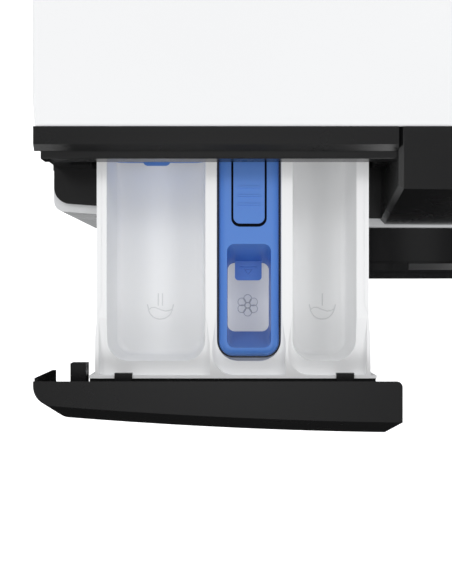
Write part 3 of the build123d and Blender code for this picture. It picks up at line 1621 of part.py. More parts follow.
def make_belt():
    """Ribbed belt round the two pulleys."""
    mid = pulley_y + pulley_w / 2
    with BuildPart() as belt:
        with BuildSketch(facing_front(mid + belt_w / 2)):
            for extra, mode in ((belt_t, Mode.ADD), (0.0, Mode.SUBTRACT)):
                with BuildSketch(mode=Mode.PRIVATE) as loop:
                    with Locations((0, axis_z)):
                        Circle(pulley_r + belt_gap + extra)
                    with Locations((motor_x, motor_z)):
                        Circle(motor_pulley_r + belt_gap + extra)
                    make_hull()
                add(loop.sketch, mode=mode)
        extrude(amount=belt_w)
    return belt


# ---------------------------------------------------------------- drum
def make_drum_shell():
    """Stainless drum: rolled mouth, front, wall and back in one sheet."""
    line = [
        (drum_y + 9.0, drum_mouth_r + 2.0),
        (drum_y, drum_mouth_r + 2.0),
        (drum_y, drum_r - drum_sheet),
        (drum_back_y, drum_r - drum_sheet),
        (drum_back_y, shaft_r + 10.0),
    ]
    return thin_turned(line, drum_sheet, 4.0)


def make_lifters():
    """Three hollow-looking paddles on the drum's wall."""
    reach = drum_r - drum_sheet
    with BuildPart() as lifters:
        for turn in (90, 210, 330):
            with BuildSketch(facing_front(drum_back_y - 12.0)):
                with BuildLine():
                    Polyline(
                        (reach - 60.0, -11.0),
                        (reach - 60.0, 11.0),
                        (reach + 6.0, 34.0),
                        (reach + 6.0, -34.0),
                        close=True,
                    )
                face = make_face()
                fillet([v for v in vertices() if v.X < reach - 50], 7.0)
            paddle = extrude(amount=drum_len - 24.0, mode=Mode.PRIVATE)
            with BuildPart(mode=Mode.PRIVATE) as one:
                add(paddle.moved(Location((0, 0, axis_z)) * Rotation(0, -turn, 0)))
                with BuildPart(mode=Mode.PRIVATE) as inside:
                    rod((0, drum_y + 2.0, axis_z), (0, drum_back_y - 2.0, axis_z), reach)
                add(inside.part, mode=Mode.INTERSECT)
            add(one.part)
    return lifters


def make_spider():
    """Cast three-armed carrier behind the drum."""
    rear = drum_back_y + drum_sheet + 16.0
    with BuildPart() as spider:
        with BuildSketch(facing_front(rear)):
            with Locations((0, axis_z)):
                Circle(34.0)
                with PolarLocations(115.0, 3, start_angle=90.0):
                    Rectangle(218.0, 30.0)
                Circle(shaft_r, mode=Mode.SUBTRACT)
        extrude(amount=16.0)
        fillet(spider.edges().filter_by(Axis.Y).group_by(SortBy.LENGTH)[-1], 4.0)
    return spider


def make_shaft():
    """Drum shaft, from the spider to the pulley."""
    with BuildPart() as shaft:
        rod((0, drum_back_y + drum_sheet, axis_z), (0, pulley_y + pulley_w, axis_z), shaft_r)
        chamfer(shaft.faces().sort_by(Axis.Y)[-1].edges(), 1.0)
    return shaft


def make_drum_pulley():
    """Spoked pulley on the end of the drum shaft."""
    with BuildPart() as pulley:
        with BuildSketch(facing_front(pulley_y + pulley_w)):
            with Locations((0, axis_z)):
                Circle(pulley_r)
                Circle(pulley_r - 5.0, mode=Mode.SUBTRACT)
                Circle(26.0)
                with PolarLocations(84.0, 6):
                    Rectangle(130.0, 14.0)
                Circle(shaft_r, mode=Mode.SUBTRACT)
        extrude(amount=pulley_w)
        with BuildPart(mode=Mode.PRIVATE) as relief:
            for low, high in ((pulley_y - 1, pulley_y + 5.0), (pulley_y + pulley_w - 5.0, pulley_y + pulley_w + 1)):
                add(turned([(low, 26.0), (high, 26.0), (high, pulley_r - 5.0), (low, pulley_r - 5.0)]).part)
        add(relief.part, mode=Mode.SUBTRACT)
    return pulley


# ---------------------------------------------------------------- water, electrics and small parts
def tube(points, bend, outer, inner):
    """A hose along a rounded path."""
    with BuildPart() as hose:
        with BuildLine() as path:
            FilletPolyline(*points, radius=bend)
        for radius, mode in ((outer, Mode.ADD), (inner, Mode.SUBTRACT)):
            with BuildSketch(Plane(origin=path.wire() @ 0, z_dir=path.wire() % 0)):
                Circle(radius)
            sweep(path=path.wire(), mode=mode)
    return hose


def make_valve_hose():
    """Hose from the inlet valve to the dispenser."""
    y = housing_back_y + housing_wall
    points = [
        (feed_x, y + 0.4, feed_z),
        (feed_x, 90.0, feed_z),
        (valve_x, 160.0, feed_z),
        (valve_x, valve_y - 1.0, feed_z),
    ]
    return tube(points, 25.0, 7.0, 5.1)


def make_dispenser_hose():
    """Short corrugated hose between the dispenser and the wash tub."""
    low, high = hose_top - 7.0, housing_z - 0.3
    with BuildPart() as hose:
        rod((hose_x, hose_y, low), (hose_x, hose_y, high), hose_r)
        for i in range(3):
            z = low + 7.0 + 6.0 * i
            rod((hose_x, hose_y, z), (hose_x, hose_y, z + 2.5), hose_r + 2.0)
        rod((hose_x, hose_y, low - 1), (hose_x, hose_y, high + 1), hose_r - 2.1, Mode.SUBTRACT)
    return hose


def make_sump_hose():
    """Hose from the sump to the drain pump."""
    low = axis_z - wash_out_r - sump_depth
    points = [
        (sump_x, sump_y, low - 0.4),
        (sump_x, sump_y, 74.0),
        (sump_x + 30.0, sump_y - 20.0, pump_z),
        (pump_x - pump_r - 1.0, sump_y - 20.0, pump_z),
    ]
    return tube(points, 14.0, sump_hose_r, sump_hose_r - 3.0)


def make_pump():
    """Drain pump: filter housing open to the front, motor behind and an inlet at the side."""
    front = filter_y + 6.0
    with BuildPart() as pump:
        rod((pump_x, front, pump_z), (pump_x, pump_back_y, pump_z), pump_r)
        rod((pump_x, pump_back_y, pump_z), (pump_x, pump_back_y + 45.0, pump_z), pump_r - 8.0)
        block(
            (pump_x - 22.0, front + 20.0, tray_z + tray_t),
            (pump_x + 22.0, pump_back_y + 10.0, pump_z),
        )
        inlet_y = sump_y - 20.0
        rod((pump_x - pump_r - 16.0, inlet_y, pump_z), (pump_x, inlet_y, pump_z), sump_hose_r - 3.1)
        rod((pump_x, front - 1, pump_z), (pump_x, pump_back_y - 6.0, pump_z), pump_r - 3.0, Mode.SUBTRACT)
        rod((pump_x - pump_r - 17.0, inlet_y, pump_z), (pump_x, inlet_y, pump_z), sump_hose_r - 5.1, Mode.SUBTRACT)
    return pump


def make_filter_cap():
    """Screw-in filter with a grip bar, behind the flap."""
    front = filter_y + 6.0
    with BuildPart() as cap:
        rod((pump_x, filter_y, pump_z), (pump_x, front, pump_z), pump_r - 1.0)
        rod((pump_x, front, pump_z), (pump_x, front + 14.0, pump_z), pump_r - 3.2)
        with BuildPart(mode=Mode.PRIVATE) as grip:
            block((pump_x - pump_r + 3, filter_y - 9.0, pump_z - 4.0), (pump_x + pump_r - 3, filter_y, pump_z + 4.0))
            fillet(grip.edges().filter_by(Axis.Y), 3.0)
        add(grip.part)
        for y in (22.0, 34.0, 46.0):
            rod((pump_x, front + y, pump_z), (pump_x, front + y + 3.0, pump_z), pump_r - 5.0)
        for x, z in ((-14.0, 0.0), (14.0, 0.0), (0.0, 14.0), (0.0, -14.0)):
            block((pump_x + x - 2, front, pump_z + z - 2), (pump_x + x + 2, front + 49.0, pump_z + z + 2))
    return cap


def make_inlet_valve():
    """Solenoid valve with its threaded inlet through the back."""
    body_y = rear_y - 3.0
    with BuildPart() as valve:
        block((valve_x - 16.0, valve_y, valve_z - 16.0), (valve_x + 16.0, body_y, valve_z + 16.0))
        fillet(valve.edges().filter_by(Axis.Y), 4.0)
        rod((valve_x, body_y - 1, valve_z), (valve_x, rear_y + sheet + inlet_out, valve_z), inlet_thread_r)
        rod((valve_x, rear_y, valve_z), (valve_x, rear_y + sheet + inlet_out + 1, valve_z), 9.0, Mode.SUBTRACT)
        rod((valve_x, valve_y - 14.0, feed_z), (valve_x, valve_y + 1, feed_z), 5.0)
        rod((valve_x + 34.0, valve_y + 12.0, valve_z), (valve_x + 15.0, valve_y + 12.0, valve_z), 11.0)
    return valve


def make_drain_outlet():
    """Stub for the drain hose, through the back."""
    with BuildPart() as outlet:
        rod((drain_x, rear_y - 26.0, drain_z), (drain_x, rear_y + sheet + drain_out, drain_z), drain_r)
        rod((drain_x, rear_y - 4.0, drain_z), (drain_x, rear_y, drain_z), drain_r + 7.0)
        for y in (8.0, 13.0):
            start = rear_y + sheet + y
            rod((drain_x, start, drain_z), (drain_x, start + 2.0, drain_z), drain_r + 1.0)
        rod((drain_x, rear_y - 27.0, drain_z), (drain_x, rear_y + 40.0, drain_z), drain_r - 2.0, Mode.SUBTRACT)
    return outlet


def make_cord_gland():
    """Grommet where the mains cord enters."""
    with BuildPart() as gland:
        rod((cord_x, rear_y + sheet, cord_z), (cord_x, rear_y + sheet + 4.0, cord_z), cord_hole_r + 5.0)
        rod((cord_x, rear_y - 8.0, cord_z), (cord_x, rear_y + sheet + 2.0, cord_z), cord_hole_r)
        rod((cord_x, rear_y + sheet, cord_z), (cord_x, rear_y + sheet + 10.0, cord_z), cord_hole_r - 2.0)
        rod((cord_x, rear_y - 9.0, cord_z), (cord_x, rear_y + 20.0, cord_z), 3.6, Mode.SUBTRACT)
    return gland


def make_transit_plugs():
    """Covers of the four transit bolt holes."""
    with BuildPart() as plugs:
        for x, z in transit_points:
            rod((x, rear_y + sheet, z), (x, rear_y + sheet + 2.5, z), transit_r + 4.0)
            rod((x, rear_y - 6.0, z), (x, rear_y + sheet, z), transit_r)
            rod((x, rear_y - 7.0, z), (x, rear_y + sheet - 1.0, z), transit_r - 2.0, Mode.SUBTRACT)
    return plugs


def make_rear_screws():
    """Pan-head screws round the back panel."""
    with BuildPart() as screws:
        for x in (-half_w + 7.0, half_w - 7.0):
            for z in (40.0, 230.0, 420.0, 610.0, 800.0):
                rod((x, rear_y + sheet, z), (x, rear_y + sheet + 2.2, z), 4.6)
                block(
                    (x - 2.6, rear_y + sheet + 1.2, z - 0.5),
                    (x + 2.6, rear_y + sheet + 3.0, z + 0.5),
                    mode=Mode.SUBTRACT,
                )
                block(
                    (x - 0.5, rear_y + sheet + 1.2, z - 2.6),
                    (x + 0.5, rear_y + sheet + 3.0, z + 2.6),
                    mode=Mode.SUBTRACT,
                )
    return screws


def make_feet():
    """Four screw feet with their lock nuts."""
    with BuildPart() as feet:
        for x, y in foot_points:
            with BuildPart(mode=Mode.PRIVATE) as foot:
                rod((x, y, 0), (x, y, 8.0), foot_pad_r)
                fillet(foot.faces().sort_by(Axis.Z)[-1].edges(), 3.0)
                rod((x, y, 6.0), (x, y, tray_z + 31.0), foot_stem_r)
                with BuildSketch(at_z(tray_z - 6.0)):
                    with Locations((x, y)):
                        RegularPolygon(9.5, 6)
                extrude(amount=6.0)
            add(foot.part)
    return feet


# ---------------------------------------------------------------- files
save("left_side_panel", side_panel(-1))
save("right_side_panel", side_panel(1))
save("rear_panel", make_rear_panel())
save("worktop", make_worktop())
save("worktop_frame", make_worktop_frame())
save("front_panel", make_front_panel())
save("base_tray", make_base_tray())
save("plinth", make_plinth())
save("top_braces", make_top_braces())
save("control_fascia", make_fascia())
save("display_window", make_display())
save("control_board", make_control_board())
save("dispenser_housing", make_housing())
save("inlet_valve", make_inlet_valve())
save("valve_hose", make_valve_hose())
save("dispenser_hose", make_dispenser_hose())
save("drain_pump", make_pump())
save("sump_hose", make_sump_hose())
save("drain_outlet", make_drain_outlet())
save("levelling_feet", make_feet())
save("transit_plugs", make_transit_plugs())
save("rear_panel_screws", make_rear_screws())
save("cord_gland", make_cord_gland())
save("door_lock", make_door_lock())
save("door_hinge_bracket", make_hinge_bracket())
save("door_gasket", make_gasket())
save("suspension_springs", make_springs())
save("damper_cylinders", make_dampers())

save("tub_front", make_tub_front())
save("tub_rear", make_tub_rear())
save("front_counterweight", make_front_counterweight())
save("top_counterweight", make_top_counterweight())
save("heater", make_heater())
save("motor_housing", make_motor_housing())
save("drum_bearings", make_bearings())
save("damper_rods", make_damper_rods())
save("drive_belt", make_belt())

save("drum_shell", make_drum_shell())
save("drum_lifters", make_lifters())
save("drum_spider", make_spider())
save("drum_shaft", make_shaft())
save("drum_pulley", make_drum_pulley())
save("motor_rotor", make_motor_rotor())

save("drawer_tub", move_out(make_drawer_tub()))
save("drawer_front", move_out(make_drawer_front()))
save("siphon_cap", move_out(make_siphon_cap()))
save("release_tab", move_out(make_release_tab()))
save("liquid_flap", move_out(make_liquid_flap()))

save("door_outer_ring", make_outer_ring())
save("door_top_inlay", inlay_form(-0.1, 0.0))
save("door_cover_glass", make_cover_glass())
save("door_glass_bowl", make_bowl())
save("door_inner_ring", make_inner_ring())
save("door_hinge_arm", make_hinge_arm())
save("door_latch_hook", make_latch_hook())

save("program_knob", make_knob())
save("power_button", make_button(power_up))
save("start_button", make_button(start_up))
save("filter_flap", make_filter_flap())
save("filter_cap", make_filter_cap())
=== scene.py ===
# %% [markdown]
# # A front load washing machine
# The machine stands on four feet with its detergent drawer pulled out. Its solid parts come packed from
# the CAD model, in metres, with X to the right, Y to the back and Z up. This lesson keeps each part where
# it is, gives it the finish that the real one has, and models what is finer than CAD is good for: the
# drum's perforated sheet, moulded pictograms, printed marks, the ribs of the knob and the like.

# %% Load the frame
import json
import math

import bpy
from mathutils import Matrix, Vector


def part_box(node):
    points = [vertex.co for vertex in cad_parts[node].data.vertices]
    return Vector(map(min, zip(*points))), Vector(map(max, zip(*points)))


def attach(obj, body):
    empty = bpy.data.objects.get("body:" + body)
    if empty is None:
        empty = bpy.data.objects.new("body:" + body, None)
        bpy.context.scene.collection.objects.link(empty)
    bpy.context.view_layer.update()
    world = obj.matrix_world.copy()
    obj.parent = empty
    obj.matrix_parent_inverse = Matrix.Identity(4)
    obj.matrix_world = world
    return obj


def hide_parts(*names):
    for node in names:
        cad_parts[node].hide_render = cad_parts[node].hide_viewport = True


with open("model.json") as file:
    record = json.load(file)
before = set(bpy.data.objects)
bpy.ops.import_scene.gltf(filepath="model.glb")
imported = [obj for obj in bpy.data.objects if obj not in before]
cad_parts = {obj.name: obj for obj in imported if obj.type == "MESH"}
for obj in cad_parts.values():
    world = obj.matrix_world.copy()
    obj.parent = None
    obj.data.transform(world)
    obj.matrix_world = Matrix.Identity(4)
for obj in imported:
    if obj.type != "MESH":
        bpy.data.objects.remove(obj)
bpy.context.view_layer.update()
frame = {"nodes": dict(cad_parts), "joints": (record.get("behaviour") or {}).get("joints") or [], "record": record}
nodes = frame["nodes"]
mm = 0.001


def middle(node):
    """The middle of a CAD node's box."""
    low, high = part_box(node)
    return (low + high) / 2


# %% [markdown]
# The machine is seen from straight above its open drawer, from a good arm's length over the worktop. A
# long lens at that height shows the top of the worktop and of the black fascia almost as a plan, and the
# compartments with little slope on their walls. The camera is placed from the machine itself: it hangs
# over a point half way along the drawer's front.

# %% Camera
worktop_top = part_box("worktop")[1].z
drawer_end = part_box("drawer_front")[0].x
cap_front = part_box("siphon_cap")[0].y
arm_length = 0.892  # worktop to the camera
camera_point = Vector((drawer_end + 0.128, cap_front + 0.0444, worktop_top + arm_length))
lens = bpy.data.cameras.new("over_the_drawer")
lens.lens = 83.2
lens.sensor_width = 36.0
lens.sensor_fit = "VERTICAL"
lens.sensor_height = 36.0
camera = bpy.data.objects.new("over_the_drawer", lens)
camera.location = camera_point
bpy.context.scene.collection.objects.link(camera)
bpy.context.scene.camera = camera
bpy.context.scene.view_settings.view_transform = "Standard"
print("camera at", [round(x, 3) for x in camera_point])

# %% [markdown]
# White goods are lit from a large soft source overhead, so that black plastic shows a grey sheen where it
# faces up and stays deep black where it faces the walls. A world shader that is dark below and brighter
# from the horizon up does this for reflections, and its least soft light stands for what the floor and
# walls send back. One area light over the drawer gives the sheen its middle, four high ones round it light
# the compartments, and four low ones keep the front, sides and back clear.

# %% Studio


def studio_world(below, level, overhead, bounce):
    """A world with these brightnesses straight down, at the horizon and overhead.

    Bounce is the least that soft light gets from any side, as from the floor and walls of the studio.
    """
    world = bpy.data.worlds.new("studio")
    world.use_nodes = True
    tree = world.node_tree
    coordinates = tree.nodes.new("ShaderNodeTexCoord")
    split = tree.nodes.new("ShaderNodeSeparateXYZ")
    ramp = tree.nodes.new("ShaderNodeValToRGB")
    first, last = ramp.color_ramp.elements
    first.position, last.position = 0.30, 1.0
    first.color = (below, below, below, 1)
    last.color = (overhead, overhead, overhead, 1)
    horizon = ramp.color_ramp.elements.new(0.5)
    horizon.color = (level, level, level, 1)
    rise = tree.nodes.new("ShaderNodeMath")
    rise.operation = "MULTIPLY_ADD"
    rise.inputs[1].default_value = 0.5
    rise.inputs[2].default_value = 0.5
    sky = tree.nodes["Background"]
    sky.inputs["Color"].default_value = (0.985, 0.99, 1.0, 1.0)
    rays = tree.nodes.new("ShaderNodeLightPath")
    ground = tree.nodes.new("ShaderNodeMath")
    ground.operation = "MULTIPLY"
    ground.inputs[1].default_value = bounce
    total = tree.nodes.new("ShaderNodeMath")
    total.operation = "MAXIMUM"
    seen = tree.nodes.new("ShaderNodeMath")
    seen.operation = "MAXIMUM"
    tree.links.new(rays.outputs["Is Diffuse Ray"], ground.inputs[0])
    tree.links.new(ground.outputs[0], seen.inputs[0])
    tree.links.new(rays.outputs["Is Camera Ray"], seen.inputs[1])
    tree.links.new(seen.outputs[0], total.inputs[1])
    tree.links.new(coordinates.outputs["Generated"], split.inputs[0])
    tree.links.new(split.outputs["Z"], rise.inputs[0])
    tree.links.new(rise.outputs[0], ramp.inputs["Fac"])
    tree.links.new(ramp.outputs["Color"], total.inputs[0])
    tree.links.new(total.outputs[0], sky.inputs["Strength"])
    bpy.context.scene.world = world


def softbox(name, place, target, size, watts):
    """A square area light at place that faces target."""
    light = bpy.data.lights.new(name, "AREA")
    light.shape = "SQUARE"
    light.size = size
    light.energy = watts
    lamp = bpy.data.objects.new(name, light)
    lamp.location = place
    lamp.rotation_euler = (Vector(target) - Vector(place)).to_track_quat("-Z", "Y").to_euler()
    bpy.context.scene.collection.objects.link(lamp)


studio_world(0.008, 0.32, 0.30, 0.56)
over = camera_point.x
ceiling = 3.3
drawer_level = 0.8
top_y, ring_y = -0.26, -0.28
softbox("top_softbox", (over + 0.02, top_y, ceiling), (over + 0.02, top_y, drawer_level), 0.7, 1.9)
high_reach = 1.15
for side in (-1, 1):
    for end in (-1, 1):
        place = (over + side * high_reach, ring_y + end * high_reach, ceiling)
        softbox(f"high_softbox_{side + end * 2 + 3}", place, (over, ring_y, drawer_level), 0.8, 11.5)
low_level = 0.7
for name, x, y, watts in (
    ("front_softbox", 0.0, -2.4, 20.0),
    ("left_softbox", -2.4, 0.0, 11.0),
    ("right_softbox", 2.4, 0.0, 11.0),
    ("rear_softbox", 0.0, 2.5, 11.0),
):
    softbox(name, (x, y, low_level), (0.0, 0.0, 0.4), 1.3, watts)

# %% [markdown]
# The floor is a plain pale sheet. It is part of the studio and not of the machine. It glows a little,
# which keeps it white under the machine's own soft shadow.

# %% Floor
bpy.ops.object.select_all(action="DESELECT")
bpy.ops.mesh.primitive_plane_add(size=12.0, location=(0, 0, -0.0005))
floor = bpy.context.active_object
floor.name = "studio_floor"
floor_paper = bpy.data.materials.new("studio_paper")
floor_paper.use_nodes = True
paper = floor_paper.node_tree.nodes["Principled BSDF"]
paper.inputs["Base Color"].default_value = (0.93, 0.93, 0.935, 1)
paper.inputs["Roughness"].default_value = 0.9
paper.inputs["Emission Color"].default_value = (1, 1, 1, 1)
paper.inputs["Emission Strength"].default_value = 0.45
floor.data.materials.append(floor_paper)
floor.visible_glossy = False
floor.visible_diffuse = False

# %% [markdown]
# Shader maths reads best as Python. `Wire` holds one socket of a material and overloads the arithmetic
# operators, so that `1 - mask` adds its Math node. `Finish` is a material under construction: its one
# method `node` takes a node's type, its settings and its inputs, and everything else is written with it.

# %% A small language for finishes


class Wire:
    """One output socket of a finish, usable in Python arithmetic."""

    def __init__(self, finish, socket):
        self.finish, self.socket = finish, socket

    def math(self, operation, first, second=0.0, clamp=False):
        settings = {"operation": operation, "use_clamp": clamp}
        return self.finish.node("ShaderNodeMath", settings, first, second)

    def __add__(self, other):
        return self.math("ADD", self, other)

    def __radd__(self, other):
        return self.math("ADD", other, self)

    def __sub__(self, other):
        return self.math("SUBTRACT", self, other)

    def __rsub__(self, other):
        return self.math("SUBTRACT", other, self)

    def __mul__(self, other):
        return self.math("MULTIPLY", self, other)

    def __rmul__(self, other):
        return self.math("MULTIPLY", other, self)

    def __truediv__(self, other):
        return self.math("DIVIDE", self, other)

    def __gt__(self, other):
        return self.math("GREATER_THAN", self, other)

    def __lt__(self, other):
        return self.math("LESS_THAN", self, other)

    def sine(self):
        return self.math("SINE", self)

    def clamped(self):
        return self.math("ADD", self, 0.0, clamp=True)


class Finish:
    """A node material that is built line by line."""

    def __init__(self, name, colour=(0.8, 0.8, 0.8), roughness=0.4, metallic=0.0, **constants):
        self.material = bpy.data.materials.new(name)
        self.material.use_nodes = True
        self.tree = self.material.node_tree
        self.shader = self.tree.nodes["Principled BSDF"]
        self.put("Base Color", (*colour, 1.0))
        self.put("Roughness", roughness)
        self.put("Metallic", metallic)
        for key, value in constants.items():
            self.put(key.replace("_", " ").title().replace("Ior", "IOR"), value)
        self.place = self.node("ShaderNodeTexCoord", {}, output="Object")

    def put(self, key, value):
        """Sets or links one socket of the shader."""
        if isinstance(value, Wire):
            self.tree.links.new(value.socket, self.shader.inputs[key])
        else:
            self.shader.inputs[key].default_value = value

    def node(self, kind, settings, *inputs, output=0, **named):
        """Adds any node: settings are set first, then the inputs by their order or by name."""
        made = self.tree.nodes.new(kind)
        for key, value in settings.items():
            setattr(made, key, value)
        for key, value in [*enumerate(inputs), *named.items()]:
            socket = made.inputs[key]
            if isinstance(value, Wire):
                self.tree.links.new(value.socket, socket)
            else:
                socket.default_value = value
        return Wire(self, made.outputs[output])

    def noise(self, scale, detail=2.0, rough=0.5, place=None):
        """Cloudy values about 0.5, scale cycles to the metre."""
        named = {"Vector": place or self.place, "Scale": scale, "Detail": detail, "Roughness": rough}
        return self.node("ShaderNodeTexNoise", {}, **named)

    def cells(self, scale, feature="F1", output="Distance", place=None, jitter=1.0):
        """Voronoi cells, scale of them to the metre."""
        named = {"Vector": place or self.place, "Scale": scale, "Randomness": jitter}
        return self.node("ShaderNodeTexVoronoi", {"feature": feature}, output=output, **named)

    def stretched(self, x, y, z):
        """The place, stretched by a factor along each axis."""
        return self.node("ShaderNodeMapping", {}, self.place, **{"Scale": (x, y, z)})

    def part(self, axis):
        """X, Y or Z of the place."""
        return self.node("ShaderNodeSeparateXYZ", {}, self.place, output=axis)

    def ramp(self, value, low, high, to_low=0.0, to_high=1.0):
        """Maps low..high to to_low..to_high, and stops there."""
        return self.node("ShaderNodeMapRange", {}, value, low, high, to_low, to_high)

    def blend(self, mask, first, second):
        """A colour between first and second."""
        made = self.tree.nodes.new("ShaderNodeMix")
        made.data_type = "RGBA"
        for index, value in ((0, mask), (6, first), (7, second)):
            if isinstance(value, Wire):
                self.tree.links.new(value.socket, made.inputs[index])
            elif index:
                made.inputs[index].default_value = (*value[:3], 1.0)
            else:
                made.inputs[index].default_value = value
        return Wire(self, made.outputs[2])

    def bump(self, height, depth, strength=1.0, after=None):
        """Relief of that depth in metres, on top of an earlier relief if given."""
        named = {"Height": height, "Distance": depth, "Strength": strength}
        if after:
            named["Normal"] = after
        return self.node("ShaderNodeBump", {}, output="Normal", **named)


def shade(colour, factor):
    """A colour made lighter or darker."""
    return tuple(min(1.0, c * factor) for c in colour)


# %% [markdown]
# Moulded plastic is most of what can be touched on a washing machine. It isn't one flat colour: the mould
# leaves a fine spark-eroded grain, the melt leaves faint clouds, and handling leaves patches that shine a
# little more than the rest. One function covers all the plastics and takes their grain and gloss.

# %% Moulded plastics


def moulded(name, colour, roughness, grain=1400.0, depth=0.00002, cloud=0.05, polish=0.08, **more):
    """Plastic with mould grain, faint clouds in its colour and patches of polish."""
    finish = Finish(name, colour, roughness, **more)
    drift = finish.noise(7.0, 3.0)
    paler, darker = shade(colour, 1 + cloud), shade(colour, 1 - cloud)
    finish.put("Base Color", finish.blend(finish.ramp(drift, 0.3, 0.7), darker, paler))
    worn = finish.ramp(finish.noise(23.0, 4.0, 0.6), 0.35, 0.7)
    finish.put("Roughness", (worn * polish + (roughness - polish / 2)).clamped())
    finish.put("Normal", finish.bump(finish.noise(grain, 2.0), depth, 0.6))
    return finish.material


# The tray's white plastic glows a little (emission 0.05): painted light that brightens its deep compartments.
tray_plastic = moulded(
    "tray_white_plastic", (0.85, 0.855, 0.86), 0.46, 900.0, 0.00001, 0.01, 0.05,
    specular_ior_level=0.3, emission_color=(1, 1, 1, 1), emission_strength=0.05,
)
fascia_plastic = moulded(
    "black_fascia_plastic", (0.0055, 0.0055, 0.0058), 0.27, 2200.0, 0.000006, 0.03, 0.02,
    specular_ior_level=0.32,
)
cap_plastic = moulded(
    "cap_blue_plastic", (0.082, 0.225, 0.640), 0.42, 1800.0, 0.000015, 0.03, 0.05,
    subsurface_weight=0.05, subsurface_scale=0.003,
)
dark_frame = moulded("worktop_frame_plastic", (0.010, 0.010, 0.011), 0.45, 1500.0, 0.00002, 0.1)
white_moulding = moulded("white_moulded_plastic", (0.78, 0.79, 0.80), 0.34, 1100.0, 0.00002, 0.02)
grey_moulding = moulded("grey_moulded_plastic", (0.33, 0.34, 0.355), 0.50, 900.0, 0.00004, 0.05)
tub_moulding = moulded("wash_tub_plastic", (0.52, 0.53, 0.535), 0.55, 500.0, 0.00006, 0.06)
black_moulding = moulded("black_moulded_plastic", (0.02, 0.02, 0.021), 0.55, 900.0, 0.00005, 0.15)
inlay_plastic = moulded("door_inlay_plastic", (0.022, 0.022, 0.023), 0.30, 2600.0, 0.00001, 0.1)
button_plastic = moulded("button_plastic", (0.016, 0.016, 0.018), 0.28, 2600.0, 0.00001, 0.1)
door_ring_plastic = moulded(
    "door_ring_plastic", (0.0045, 0.0045, 0.005), 0.24, 2400.0, 0.000005, 0.04, 0.02, specular_ior_level=0.2
)

# %% [markdown]
# The sides and front are deep-drawn sheet with baked white enamel. Enamel flows before it hardens, so it
# has a long, shallow ripple called orange peel, and a clear gloss over it. The back and the braces are
# bare galvanised sheet, whose zinc freezes in large angular crystals that differ in brightness.

# %% Sheet metal


def enamelled():
    finish = Finish("white_enamel", (0.80, 0.81, 0.82), 0.26, coat_weight=0.35, coat_roughness=0.08)
    ripple = finish.noise(210.0, 2.0)
    cloud = finish.ramp(finish.noise(2.2, 2.0), 0.3, 0.7)
    finish.put("Base Color", finish.blend(cloud, (0.785, 0.795, 0.81), (0.815, 0.825, 0.83)))
    finish.put("Roughness", finish.ramp(finish.noise(14.0, 3.0), 0.3, 0.7, 0.22, 0.30))
    finish.put("Normal", finish.bump(ripple, 0.00003, 0.12))
    return finish.material


def galvanised():
    finish = Finish("galvanised_sheet", (0.60, 0.61, 0.62), 0.42, 0.9)
    crystal = finish.cells(75.0, output="Color")
    level = finish.node("ShaderNodeSeparateColor", {}, crystal, output="Red")
    finish.put("Base Color", finish.blend(level, (0.46, 0.475, 0.49), (0.68, 0.69, 0.70)))
    finish.put("Roughness", level * 0.22 + 0.30)
    finish.put("Normal", finish.bump(finish.noise(320.0, 3.0), 0.00003, 0.4))
    return finish.material


def rolled_steel(name, colour, roughness, stretch, metallic=1.0):
    """Metal with the fine lines that rolling, drawing or turning leaves along one axis."""
    finish = Finish(name, colour, roughness, metallic)
    lines = finish.noise(1.0, 3.0, 0.7, finish.stretched(*stretch))
    tone = finish.ramp(lines, 0.25, 0.75)
    finish.put("Base Color", finish.blend(tone, shade(colour, 0.86), shade(colour, 1.06)))
    finish.put("Roughness", tone * 0.14 + (roughness - 0.07))
    finish.put("Normal", finish.bump(lines, 0.00002, 0.35))
    return finish.material


white_enamel = enamelled()
zinc_sheet = galvanised()
stainless = rolled_steel("stainless_drum_sheet", (0.66, 0.66, 0.655), 0.24, (60, 1400, 60))
zinc_steel = rolled_steel("zinc_plated_steel", (0.60, 0.60, 0.57), 0.33, (300, 300, 900))
nickel_steel = rolled_steel("turned_steel", (0.62, 0.61, 0.58), 0.28, (160, 1800, 160))

# %% [markdown]
# The worktop is a laminated board: printed paper under melamine, pressed with a very fine pearl texture
# so that it doesn't show fingerprints. Its edge band is the same white.

# %% Worktop laminate


def laminate():
    finish = Finish("white_laminate", (0.86, 0.87, 0.87), 0.44, specular_ior_level=0.45)
    pearl = finish.cells(1150.0, "SMOOTH_F1")
    cloud = finish.ramp(finish.noise(3.0, 4.0), 0.3, 0.7)
    finish.put("Base Color", finish.blend(cloud, (0.865, 0.87, 0.875), (0.885, 0.89, 0.895)))
    finish.put("Roughness", finish.ramp(finish.noise(30.0, 3.0), 0.3, 0.7, 0.40, 0.50))
    finish.put("Normal", finish.bump(pearl, 0.00004, 0.25))
    return finish.material


worktop_laminate = laminate()

# %% [markdown]
# Inside the cabinet are rougher things: cast concrete weights full of small pores, an aluminium spider
# and pulley with a sand-cast skin, painted motor laminations, and a green circuit board whose copper
# tracks show through the lacquer as slightly lighter right-angled paths.

# %% Castings, concrete and the circuit board


def concrete():
    finish = Finish("cast_concrete", (0.38, 0.38, 0.365), 0.85)
    stone = finish.noise(60.0, 6.0, 0.65)
    pores = finish.cells(260.0) < 0.16
    tone = finish.blend(finish.ramp(stone, 0.3, 0.7), (0.30, 0.30, 0.285), (0.46, 0.455, 0.44))
    # The pores are coloured much darker than the stone: painted shade in these small hollows, which the bump also
    # sinks.
    finish.put("Base Color", finish.blend(pores * 0.6, tone, (0.16, 0.16, 0.15)))
    relief = finish.bump(stone, 0.0006, 0.5)
    finish.put("Normal", finish.bump(1 - pores, 0.0008, 0.6, after=relief))
    return finish.material


